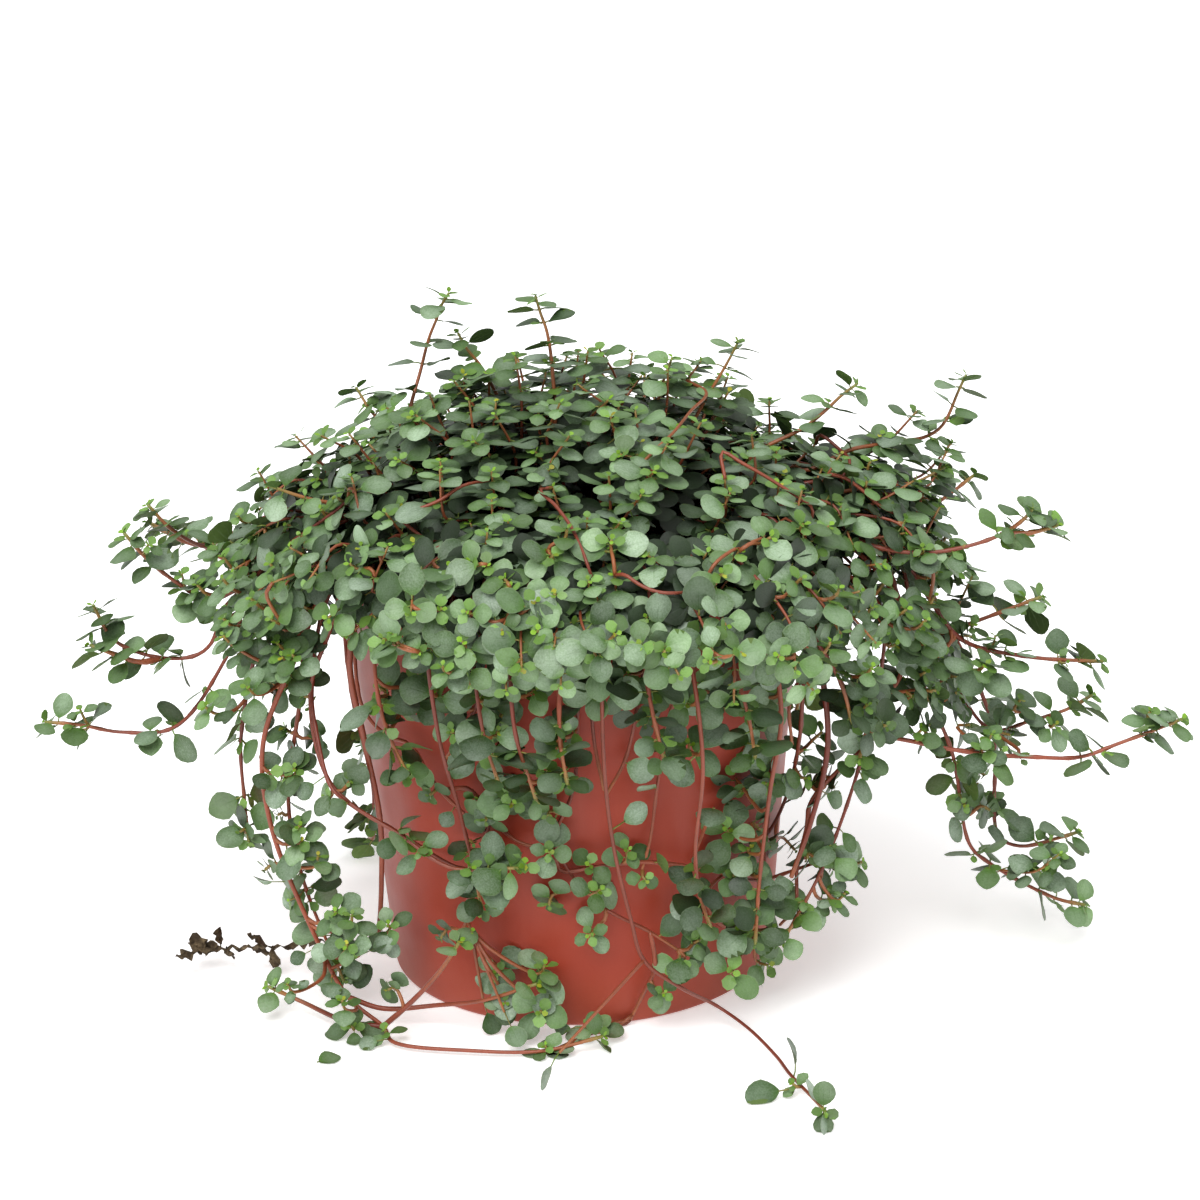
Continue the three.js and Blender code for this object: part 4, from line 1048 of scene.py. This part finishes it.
# Further thin stems, hanging at the near side and the right: where they leave the mound, if they don't leave
# another stem, and their stops noted on the photo.
thinStems = {
    "front": [
        {"from": [208, 68, 112], "seen": [["plane", [312, 690, -35], [318, 740, -42], [330, 785, -48],
            [340, 797, -50]], ["wall", [400, 833, 3], [455, 866, 4], [490, 872, 7]]]},
        {"from": [249, 62, 118], "seen": [["wall", [480, 690, 5], [470, 720, 4], [445, 760, 4]]]},
        {"from": [256, 62, 118], "seen": [["wall", [505, 700, 4], [493, 800, 3], [480, 865, 4],
            [466, 912, 5], [471, 930, 8]]]},
        {"from": [214, 62, 118], "seen": [["wall", [360, 700, 10], [385, 735, 5], [410, 745, 5],
            [440, 790, 4], [490, 835, 3], [510, 850, 5], [523, 862, 9]]]},
        {"seen": [["wall", [440, 790, 4], [470, 790, 4], [490, 815, 3], [515, 840, 3], [550, 850, 5]]]},
        {"from": [275, 62, 119], "seen": [["wall", [597, 650, 6], [592, 700, 6], [594, 740, 6],
            [604, 790, 10]]]},
        {"from": [270, 62, 119], "seen": [["wall", [573, 650, 6], [577, 700, 5], [575, 780, 4],
            [570, 800, 5], [556, 835, 4], [565, 865, 4], [600, 905, 5], [650, 932, 6], [678, 950, 8]]]},
        {"from": [288, 62, 119], "seen": [["wall", [640, 690, 4], [625, 760, 4], [606, 795, 9]]]},
        {"from": [295, 62, 118], "seen": [["wall", [690, 650, 6], [668, 720, 4], [658, 780, 3],
            [650, 840, 3], [642, 870, 5]]]},
        {"from": [322, 62, 118], "seen": [["wall", [780, 640, 6], [765, 700, 6], [745, 745, 8],
            [737, 765, 11]]]},
        {"from": [319, 62, 118], "seen": [["wall", [776, 700, 8], [770, 780, 5], [766, 840, 4],
            [762, 890, 4], [756, 925, 8], [733, 970, 15]]]},
        {"seen": [["wall", [756, 925, 8], [722, 925, 6], [700, 890, 5], [694, 860, 6], [702, 835, 9],
            [714, 808, 14]]]},
        {"seen": [["wall", [556, 835, 4], [560, 870, 4], [590, 868, 4], [640, 862, 5], [700, 868, 5],
            [760, 880, 5]], ["plane", [800, 868, -30], [850, 850, -25]]]},
        {"seen": [["wall", [650, 932, 6], [655, 965, 7], [640, 1000, 2], [630, 1020, 0.8]]]},
    ],
    "right": [
        {"from": [326, 62, 119], "seen": [["plane", [806, 640, -40], [803, 690, -44], [800, 735, -42]],
            ["wall", [785, 800, 5], [770, 830, 4], [740, 860, 4], [712, 885, 4], [703, 900, 5]]]},
        {"from": [328, 62, 119], "seen": [["plane", [812, 650, -38], [790, 700, -44], [792, 745, -44]]]},
        {"from": [327, 62, 119], "seen": [["plane", [825, 655, -40], [850, 695, -38], [866, 720, -38],
            [862, 750, -39]]]},
        {"from": [329, 70, 119], "seen": [["plane", [845, 600, -40], [850, 630, -36], [885, 690, -32],
            [915, 690, -26]]]},
        {"from": [334, 80, 68], "seen": [["plane", [812, 800, -34], [806, 830, -36], [797, 868, -38],
            [796, 905, -42]], ["wall", [780, 925, 10]]]},
    ],
}
# Rosettes that stand out, as noted on the photo, after the name of what tells their depth: pixel x and y,
# millimetres, blade length, leaf pairs below the bud (0 for one leaf alone), and which way it looks if not
# out.
rosettes = {
    "front": [
        ["wall", [553, 738, 17, 9.4, 2], [547, 770, 13, 6.6, 1], [608, 798, 13, 9.0, 2],
            [487, 752, 10, 8.4, 2], [460, 770, 8, 8.6, 0], [690, 744, 13, 8.2, 2], [737, 765, 13, 8.2, 1],
            [758, 752, 16, 9.2, 0], [766, 783, 9, 6.6, 1], [713, 806, 15, 8.6, 0, "up"],
            [525, 864, 11, 8.2, 1], [493, 870, 9, 7.6, 1], [549, 852, 9, 6.0, 1], [464, 880, 8, 8.0, 0],
            [472, 932, 9, 7.4, 2], [441, 938, 9, 5.2, 1, "down"], [549, 905, 8, 7.2, 1, "down"],
            [590, 935, 8, 6.0, 1], [600, 890, 7, 6.8, 1], [645, 880, 7, 5.4, 1], [590, 865, 6, 6.4, 1],
            [628, 850, 6, 6.0, 1], [664, 862, 10, 7.6, 0], [683, 905, 8, 7.6, 0], [662, 935, 7, 7.4, 0],
            [678, 965, 10, 7.6, 1], [690, 965, 9, 4.6, 1], [664, 993, 9, 5.6, 1], [738, 925, 14, 8.6, 1],
            [732, 972, 18, 9.2, 2], [771, 928, 13, 8.0, 1], [700, 940, 8, 6.6, 1], [712, 895, 6, 6.0, 1],
            [735, 875, 9, 6.4, 1], [728, 830, 7, 7.6, 1], [768, 845, 6, 5.0, 1, "down"],
            [412, 768, 8, 7.6, 1], [430, 795, 7, 7.2, 1, "down"], [447, 818, 7, 4.8, 0],
            [400, 715, 9, 7.6, 1, "down"], [378, 740, 6, 8.2, 0], [445, 728, 8, 5.0, 0],
            [380, 688, 12, 8.6, 1], [436, 690, 11, 8.0, 1], [505, 690, 10, 8.0, 1], [535, 690, 13, 8.4, 1],
            [600, 690, 12, 8.2, 1], [650, 700, 8, 8.0, 1], [700, 685, 12, 8.2, 1], [728, 690, 10, 8.2, 1],
            [765, 690, 12, 8.0, 1], [775, 725, 9, 7.0, 0], [475, 800, 6, 7.4, 1, "down"],
            [505, 800, 6, 7.0, 1, "down"], [548, 815, 8, 7.6, 1, "down"], [570, 785, 7, 7.2, 1, "down"],
            [635, 815, 8, 8.0, 0], [640, 770, 7, 8.0, 0], [650, 795, 6, 6.6, 0, "down"],
            [545, 965, 8, 6.8, 1, "up"], [497, 972, 7, 6.4, 1], [505, 1003, 10, 6.0, 1],
            [541, 1012, 12, 8.2, 2], [565, 1030, 10, 4.6, 0], [592, 1024, 8, 6.4, 1, "up"]],
        ["level", [545, 1046, 3, 6.0, 1, "up"], [515, 1038, 3, 6.6, 0, "up"], [764, 1093, 3, 9.6, 0],
            [804, 1053, 9, 7.6, 0, "edge"], [793, 1084, 3.5, 4.6, 1, "up"], [818, 1093, 7, 7.0, 0, "edge"],
            [820, 1124, 3, 5.6, 0, "edge"]],
        ["wall", [768, 965, 12, 7.6, 1]],
        ["level", [487, 1022, 2.5, 6.4, 0, "up"], [540, 1074, 4, 7.2, 0, "edge"]],
    ],
    "left": [
        ["plane", [240, 832, -25, 7.2, 2, "down"], [278, 815, -28, 7.4, 1, "down"],
            [298, 805, -30, 7.0, 0, "down"], [326, 798, -45, 7.6, 1], [350, 782, -45, 7.2, 1, "down"],
            [305, 790, -42, 7.4, 0], [265, 870, -30, 8.0, 1, "down"], [262, 893, -32, 7.0, 0, "down"],
            [318, 856, -40, 7.0, 1, "up"], [335, 912, -45, 7.8, 1], [352, 915, -48, 6.8, 1, "up"],
            [346, 945, -52, 7.8, 2], [388, 925, -42, 7.4, 1], [383, 945, -44, 7.2, 0],
            [296, 957, -42, 6.2, 0], [287, 984, -60, 4.8, 1, "up"], [330, 980, -55, 7.0, 0, "up"],
            [342, 1000, -60, 6.6, 1, "up"]],
        ["level", [352, 1026, 4, 7.8, 1, "up"], [385, 1030, 4, 7.0, 1, "up"]],
        ["plane", [388, 990, -52, 6.4, 1, "down"]],
        ["level", [370, 1040, 3, 6.0, 0, "up"]],
    ],
    "right": [
        ["plane", [860, 758, -40, 8.8, 2], [872, 783, -42, 7.8, 0], [888, 730, -38, 9.0, 0],
            [835, 714, -38, 7.6, 0, "up"], [822, 732, -34, 7.6, 1], [803, 750, -36, 7.4, 1],
            [790, 785, -38, 8.6, 0], [806, 778, -36, 6.6, 1], [822, 792, -34, 6.8, 1, "down"],
            [834, 800, -32, 6.4, 0], [828, 765, -26, 6.8, 1, "down"], [815, 640, -46, 8.0, 1],
            [828, 662, -48, 8.6, 0], [862, 665, -36, 7.6, 1], [900, 682, -34, 7.4, 0],
            [895, 645, -34, 7.8, 1], [928, 640, -30, 7.6, 2], [925, 672, -28, 6.6, 2],
            [985, 665, -26, 8.4, 2], [910, 705, -24, 7.8, 2, "down"], [885, 710, -14, 7.0, 1, "down"],
            [930, 725, -22, 6.8, 1, "down"], [970, 725, -16, 6.8, 1, "down"], [955, 832, -12, 8.0, 0],
            [985, 775, -10, 5.6, 1, "down"], [990, 810, -10, 6.0, 1, "down"], [793, 884, -40, 7.2, 0],
            [832, 900, -40, 7.2, 1], [845, 893, -40, 5.0, 1, "up"], [835, 870, -30, 5.6, 1, "down"],
            [862, 862, -30, 7.0, 1], [830, 850, -25, 6.4, 1, "down"], [795, 850, -20, 6.0, 1, "down"],
            [1020, 700, -8, 6.8, 2], [1055, 725, -6, 6.4, 1], [1010, 735, -14, 6.6, 1, "down"],
            [1150, 712, -25, 6.4, 2], [965, 545, -29, 6.6, 2, "up"]],
    ],
}
rosetteScale = {"left": 0.86}
# leaves that dropped to the ground: where the photo shows the foot and the tip of each
fallen = {"left": [[["level", [317, 1062, 0.6], [340, 1056, 0.8]]]]}


def trailingLine(plan, order):
    # up out of the soil, over the lip, along its way and on past the stops noted on the photo
    reach = root["outer"] if order % 2 == 0 else root["inner"]
    b = plan["bearing"]
    start = [[b, reach, root["foot"]], [b, reach, root["foot"] + root["upright"]],
             [b, reach + 6, root["crest"] - 1], [b, root["past"], root["crest"]],
             [b, root["clear"], root["crest"]]]
    return np.vstack([polar(start + plan["way"]), seenPath(plan.get("seen", []))])


rooted = sorted({**trailing, **bareRunners}.items(), key=lambda item: item[1]["bearing"])
sides = {"left": [], "front": [], "right": [], "back": []}
trailLeaf = {
    "leafy": {"left": 50.0, "front": 20.0, "right": 66.0, "back": 74.0},  # how much of the end bears leaves
    "bare": 44,  # the least length from the soil that bears none
    "branchBare": 4,
    "spacing": 7.0,
    "size": 7.5,
    "radius": [0.5, 0.8],  # range of a stem's radius at its foot
    "branchRadius": 0.75,
    "tipRadius": 0.45,
    "nodeGap": 9.0,
}
# The stems that hang at the front bear their leaf pairs evenly. The others bear them in groups, with younger
# leaves that are turned more unevenly.
hanging = {"youth": 0.15, "widen": 0.05, "grouped": False, "tumble": 0.22}
spreading = {"youth": 0.4, "widen": 0.1, "grouped": True, "tumble": 0.42}
# Rosettes spread over the places where the plant is thick: how many, the ranges of bearing, reach and
# height, and the share of them that looks down and out.
thickets = {
    "left": [[30, 170, 214, 74, 98, 80, 116, 0.25], [12, 202, 214, 76, 86, 84, 108, 0.3],
             [6, 196, 212, 72, 84, 48, 80, 0.5]],
    "front": [[20, 226, 320, 64, 73, 84, 106, 0.3], [6, 236, 262, 60, 63, 44, 66, 0.6],
              [5, 292, 322, 60, 65, 28, 62, 0.6]],
    "right": [[30, 320, 358, 72, 100, 72, 112, 0.25], [10, 340, 362, 84, 104, 66, 90, 0.3],
              [4, 322, 338, 66, 76, 30, 60, 0.5]],
    "back": [[16, 20, 160, 66, 90, 76, 104, 0.2]],
}

runners = Plant("bare_runners")
plants = {side: Plant("trailing_" + side) for side in sides}
for order, (name, plan) in enumerate(rooted):
    path = throughPoints(trailingLine(plan, order), pathStep)
    if name in bareRunners:
        runners.stem(path, foot=0.95, tip=0.6, age=(0.0, 0.35))
        continue
    side = name.split("_")[1]
    plant = plants[side]
    sides[side].append(name)
    branches = [polar(points) for points in plan.get("branches", [])]
    branches += [seenPath(stops) for stops in plan.get("seenBranches", [])]
    lines = [path] + [throughPoints(points, pathStep) for points in branches]
    for k, path in enumerate(lines):
        total = lengthOf(path)
        bare = trailLeaf["branchBare"] if k else trailLeaf["bare"]
        leafy = min(plan.get("leafy", trailLeaf["leafy"][side]), total - bare)
        light = lightAt(path[-1] * 0.5 + path[len(path) // 2] * 0.5)
        rows = growLeaves(path, total - leafy, trailLeaf["spacing"],
                          trailLeaf["size"] * rng.uniform(0.92, 1.08), light, budSize=rng.uniform(0.9, 1.2),
                          axils=0.6, **(hanging if side == "front" else spreading))
        # the leaves on the stems that hang at the front are darkened: painted shade
        if side == "front":
            rows[:, leaf["old"]] = rng.uniform(0.2, 0.75, len(rows))
        plant.leaves.append(rows)
        if side != "front":
            addSprigs(plant, rows)
        thick = rng.uniform(*trailLeaf["radius"])
        nodes = np.arange(total - leafy, total, trailLeaf["nodeGap"])
        plant.stem(path, trailLeaf["branchRadius"] if k else thick, trailLeaf["tipRadius"], nodes=nodes,
                   bears=True)

for side, plant in plants.items():
    for line in thinStems.get(side, []):
        start = [line["from"]] if "from" in line else []
        if start and start[0][2] > root["foot"]:  # it stands in the soil and passes over the lip
            b = start[0][0]
            start = [[b, root["inner"], root["foot"]], [b, root["over"], root["crest"] + 0.6]] + start
        stops = np.vstack([polar(np.reshape(start, (-1, 3))), seenPath(line["seen"])])
        path = throughPoints(stops, pathStep)
        nodes = np.arange(8.0, lengthOf(path), 14.0)
        plant.stem(path, foot=0.6, tip=0.4, age=(0.0, 0.5), nodes=nodes, bears=True)
    scale = rosetteScale.get(side, 1.0)
    for surface, *rows in rosettes.get(side, []):
        for x, y, offset, size, pairs, *face in rows:
            plant.rosette(seenPlace(x, y, surface, offset), size * scale, pairs, *face)
    for foot, tip in (seenPath(stops) for stops in fallen.get(side, [])):
        plant.leaves.append(leafRow(foot, unit(tip - foot), along=(0, 0, 1), light=(0.3, -0.35, 0.9),
                                    length=np.linalg.norm(tip - foot), stalk=0.5, turn=1, age=0.3))
    for count, *ranges, down in thickets[side]:
        for _ in range(count):
            bearing, reach, height = (rng.uniform(ranges[k], ranges[k + 1]) for k in (0, 2, 4))
            plant.rosette(polar([bearing, reach, height]), rng.uniform(5.8, 7.6), int(rng.integers(1, 3)),
                          "down" if rng.random() < down else "out")
    piece = plant.build(plantFinishes)
    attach(piece, "root")
    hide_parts(*sides[side])
piece = runners.build(plantFinishes)
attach(piece, "root")
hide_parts(*bareRunners)
print("trailing stems made")

mound = {
    # the mound's outline, reach and height from its top down to the skirt that hangs over the lip
    "outline": [[0, 161], [20, 158.5], [40, 151], [58, 142], [74, 131.5], [86, 120], [92, 109], [90, 99],
                [84, 91]],
    "shoots": 330,
    "leafy": 32.0,  # how much of a shoot's end bears leaves
    "drapeLeafy": 34.0,
    "spacing": 5.8,
    "size": 7.8,
    "skirtTop": 106,  # shoots that end below this height are the skirt's
    "skirtShare": 0.8,  # the share of those that is kept
    "soilReach": 46,  # shoots stand in the soil within this reach
    "soilLevel": 104.0,
    "drapeReach": 70,  # shoots that end past this reach and below this height hang over the lip
    "drapeTop": 124,
    "drapeStart": [3, 14],  # how far out and up from the soil they first go
    "rise": 6,  # how far up from the soil the others first go
    "arch": 4,
    "lipReach": 61,
    "lipHeights": [120, 130],
    "tip": 12,  # length of a shoot's straight end
    # bearing, reach and height of further shoots, where one side of the top stands higher
    "lifted": [[196, 36, 156], [190, 29, 158], [178, 20, 158], [215, 30, 156], [205, 42, 153],
               [184, 46, 151], [189, 63, 146], [196, 57, 148], [187, 79, 137], [176, 70, 142],
               [4, 80, 138], [6, 90, 143], [358, 96, 136], [350, 88, 132], [345, 70, 140], [8, 100, 133],
               [352, 94, 124]],
    "openings": [[222, 12], [316, 6]],  # bearing and half-width where the skirt lets the lip show
}
# Rosettes spread over the mound's flanks: how many, and the ranges of bearing and height
moundThickets = [[30, 222, 322, 108, 138], [10, 176, 222, 104, 136], [10, 322, 362, 104, 136]]
# Stems that lie over the mound's leaves, by the photo's pixels, with their ends tucked in.
crossing = {
    "red": [
        [[722, 452], [742, 463], [768, 478], [796, 496], [812, 508]],
        [[290, 545], [312, 528], [335, 511], [352, 498]],
        [[398, 514], [418, 509], [440, 500], [462, 486]],
        [[540, 490], [555, 505], [570, 525], [580, 545], [588, 566]],
        [[625, 575], [640, 585], [658, 592], [676, 593]],
        [[845, 478], [862, 490], [880, 506], [905, 520]],
        [[820, 435], [838, 448], [850, 462]],
    ],
    "warm": [
        [[714, 565], [728, 553], [744, 545], [762, 538]],
        [[706, 392], [690, 412], [672, 434], [655, 450]],
    ],
    "age": {"red": (0.0, 0.12), "warm": (0.35, 0.6)},
    "radius": 0.48,
    "clear": -2.2,  # how far off the mound's outline they lie
    "tuck": 5.0,
    "heart": 112.0,  # height of the middle that their ends are tucked towards
}


def swellAt(bearing):
    # the mound is wider to the right, narrower front and back, with five shallow lobes
    return 1 + 0.055 * np.cos(bearing) - 0.05 * np.abs(np.sin(bearing)) + 0.03 * np.sin(5 * bearing + 1)


def moundRadius(points):
    # the reach of the swollen outline at each point's height, and nothing above its top
    outline = np.array(mound["outline"], float)[::-1]
    reach = np.interp(points[:, 2], outline[:, 1], outline[:, 0], right=-99)
    return reach * swellAt(np.arctan2(points[:, 1], points[:, 0]))


def moundPoints(count):
    # points spread evenly over the mound by the golden angle, with the outline's outward direction at each
    outline = np.array(mound["outline"], float)
    fine = throughPoints(np.column_stack([outline, np.zeros(len(outline))]), step=1.0)[:, :2]
    bands = np.hypot(*np.diff(fine, axis=0).T) * (fine[1:, 0] + fine[:-1, 0])
    area = np.concatenate([[0], np.cumsum(bands)])
    share = (np.arange(count) + 0.5) / count
    reach = np.interp(share * area[-1], area, fine[:, 0])
    height = np.interp(share * area[-1], area, fine[:, 1])
    slope = np.gradient(fine, axis=0)
    normal = unit(np.column_stack([-slope[:, 1], slope[:, 0]]))
    outR = np.interp(share * area[-1], area, normal[:, 0])
    outZ = np.interp(share * area[-1], area, normal[:, 1])
    bearing = np.radians(np.arange(count) * 137.508 + rng.normal(0, 5, count))
    swell = swellAt(bearing)
    out = unit(np.column_stack([outR * np.cos(bearing), outR * np.sin(bearing), outZ]))
    place = np.column_stack([reach * swell * np.cos(bearing), reach * swell * np.sin(bearing), height])
    return place + out * np.clip(rng.normal(-3.4, 4.4, (count, 1)), -13, 4), out


crownPlants = {side: Plant("crown_" + side) for side in ("front", "right", "back", "left", "top")}


def sideOf(place):
    if np.hypot(place[0], place[1]) < 46:
        return "top"
    bearing = np.degrees(np.arctan2(place[1], place[0])) % 360
    return ["right", "back", "left", "front"][int(((bearing + 45) % 360) // 90)]


tips, outs = moundPoints(mound["shoots"])
lifted = polar(mound["lifted"])
tips = np.vstack([tips, lifted])
outs = np.vstack([outs, unit(lifted * [0.5, 0.5, 0] / 60 + [0, 0, 0.8])])
for tip, out in zip(tips, outs):
    flat = unit(np.array([tip[0], tip[1], 0]))
    reach = np.hypot(tip[0], tip[1])
    drape = reach > mound["drapeReach"] and tip[2] < mound["drapeTop"]
    skip = rng.random() > mound["skirtShare"]
    turn = np.degrees(np.arctan2(tip[1], tip[0])) % 360
    if tip[2] < mound["skirtTop"] and (skip or any(abs(turn - b) < w for b, w in mound["openings"])):
        continue
    foot = flat * min(mound["soilReach"], 0.45 * reach + rng.uniform(0, 6)) + [0, 0, mound["soilLevel"]]
    if drape:
        lean = unit(out * 0.7 - np.array([0, 0, 0.55]) + rng.normal(0, 0.2, 3))
        outward, up = mound["drapeStart"]
        points = [foot, foot + flat * outward + [0, 0, up],
                  flat * mound["lipReach"] + [0, 0, rng.uniform(*mound["lipHeights"])]]
    else:
        lean = unit(out + rng.normal(0, 0.28, 3))
        points = [foot, foot + [0, 0, mound["rise"]], (foot + tip) / 2 + [0, 0, mound["arch"]]]
    path = throughPoints(points + [tip - lean * mound["tip"], tip], step=2.0)
    flatness = np.clip((tip[2] - 108) / 34, 0, 1)
    light = unit(out * (0.9 - 0.78 * flatness) + np.array([0, -0.08, 0.42 + 0.6 * flatness]))
    plant = crownPlants[sideOf(tip)]
    bare = max(3.0, lengthOf(path) - mound["drapeLeafy" if drape else "leafy"])
    rows = growLeaves(path, bare, mound["spacing"], mound["size"] * rng.uniform(0.9, 1.08), light,
                      budSize=rng.uniform(0.78, 1.08), insideShadeAndAge=1.0)
    plant.leaves.append(rows)
    plant.stem(path, foot=0.7, tip=0.28, sides=5, age=(0.0, 0.8), bears=True)

for shoot in tallShoots:
    stops = np.vstack([polar(shoot["from"]), seenPath(shoot.get("seen", []))])
    plant = crownPlants[sideOf(stops[0])]
    path = throughPoints(np.vstack([plant.nearest(stops[0], 5.0)[0], stops]), pathStep)
    rows = growLeaves(path, lengthOf(path) * 0.25, spacing=6.2, size=7.6, light=np.array([0, 0, 1.0]),
                      budSize=1.05, youth=0.3, widen=0.1, axils=0.6, tumble=0.35)
    plant.leaves.append(rows)
    plant.stem(path, foot=0.6, tip=0.35, age=(0.35, 1.0))

for kind, age in crossing["age"].items():
    for stops in crossing[kind]:
        line = seenPath([["mound", *([x, y, crossing["clear"]] for x, y in stops)]])
        plant = crownPlants[sideOf(line[0])]
        inward = unit(np.array([0, 0, crossing["heart"]]) - line[-1])
        last = line[-1] + crossing["tuck"] * (unit(line[-1] - line[-2]) + inward)
        path = throughPoints(np.vstack([plant.nearest(line[0], crossing["tuck"])[0], line, last]), pathStep)
        plant.stem(path, crossing["radius"], crossing["radius"] * 0.8, age=age)

for count, *ranges in moundThickets:
    for _ in range(count):
        bearing, height = (rng.uniform(ranges[k], ranges[k + 1]) for k in (0, 2))
        place = polar([bearing, moundRadius(polar([[bearing, 1.0, height]]))[0] + 1, height])
        crownPlants[sideOf(place)].rosette(place, rng.uniform(7.0, 8.6), int(rng.integers(1, 3)),
                                           "out" if rng.random() < 0.7 else "up")

for side, plant in crownPlants.items():
    piece = plant.build(plantFinishes)
    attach(piece, "root")
    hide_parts("crown")
print("mound made")

withered = {
    # bearing, reach and height of its points, from the stem that it hangs on
    "line": [[206.8, 73, 13.6], [203, 71, 13.8], [197, 69, 12.6], [192, 76, 9.6], [189, 85, 8.2],
             [186, 103, 6.3]],
    # distance back from the tip, and length, of each crumpled leaf
    "leaves": [[0.5, 5.5], [1.5, 5.0], [3.5, 5.5], [6.0, 5.0], [8.0, 5.5], [9.5, 4.5], [18.5, 5.5],
               [20.5, 6.0], [22.5, 5.0]],
    "crumple": 0.75,
}
dryPlant = Plant("dry_shoot")
path = throughPoints(polar(withered["line"]), step=1.5)
total = lengthOf(path)
for back, size in withered["leaves"]:
    foot, along = alongPath(path, np.array([total - back]))
    out = unit(np.cross(along[0], rng.normal(0, 1, 3)))
    dryPlant.leaves.append(leafRow(foot[0], out, along[0], unit(rng.normal(0, 1, 3)), size, stalk=0.6,
                                   turn=0.5, rise=0.6))
dryPlant.stem(path, foot=0.5, tip=0.35, age=(0.0, 0.2), sides=5)
piece = dryPlant.build([drySkin] * 4, crumple=withered["crumple"])
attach(piece, "root")
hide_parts("withered_shoot")
print("withered shoot made")

floorSize = 4.0
mesh = bpy.data.meshes.new("studio_floor")
mesh.from_pydata([(-floorSize, -floorSize, 0), (floorSize, -floorSize, 0), (floorSize, floorSize, 0),
                  (-floorSize, floorSize, 0)], [], [(0, 1, 2, 3)])
floor = addObject("studio_floor", mesh)
floorMaterial, n, shader = newMaterial("paleFloor", roughness=0.9, specular=0.1)
shader.inputs["Base Color"].default_value = (0.96, 0.96, 0.96, 1)
shader.inputs["Emission Color"].default_value = (1.0, 1.0, 1.0, 1)
shader.inputs["Emission Strength"].default_value = 0.4
mesh.materials.append(floorMaterial)

world = bpy.data.worlds.new("studio")
bpy.context.scene.world = world
world.use_nodes = True
world.node_tree.nodes["Background"].inputs["Color"].default_value = (1.0, 1.0, 1.0, 1)
world.node_tree.nodes["Background"].inputs["Strength"].default_value = 0.42


def standing(columns, place):
    # the matrix of an object with these axes of its own at a place
    return Matrix([[*row, p] for row, p in zip(columns, place)] + [[0, 0, 0, 1]])


def softSun(name, place, angle, strength):
    # a wide, even light from one side, aimed at the pot
    light = bpy.data.lights.new(name, "SUN")
    light.angle = np.radians(angle)
    light.energy = strength
    back = unit(np.array(place, float))
    right = unit(np.cross([0, 0, 1.0], back))
    columns = np.column_stack([right, np.cross(back, right), back])
    addObject(name, light).matrix_world = standing(columns, place)


softSun("keyLight", (-0.36, -1.0, 1.25), angle=45, strength=2.5)
softSun("topLight", (0.25, 0.1, 1.8), angle=70, strength=0.9)

camera = bpy.data.cameras.new("photoCamera")
camera.lens = photoView["lens"]
camera.sensor_width = photoView["film"]
view = addObject("photoCamera", camera)
forward, right, up = (np.array(photoView[k]) for k in ("forward", "right", "up"))
place = np.array(photoView["place"]) * metre
view.matrix_world = standing(np.column_stack([right, up, -forward]), place)
bpy.context.scene.camera = view
bpy.context.scene.view_settings.view_transform = "Standard"
print("stage, lights and camera set")
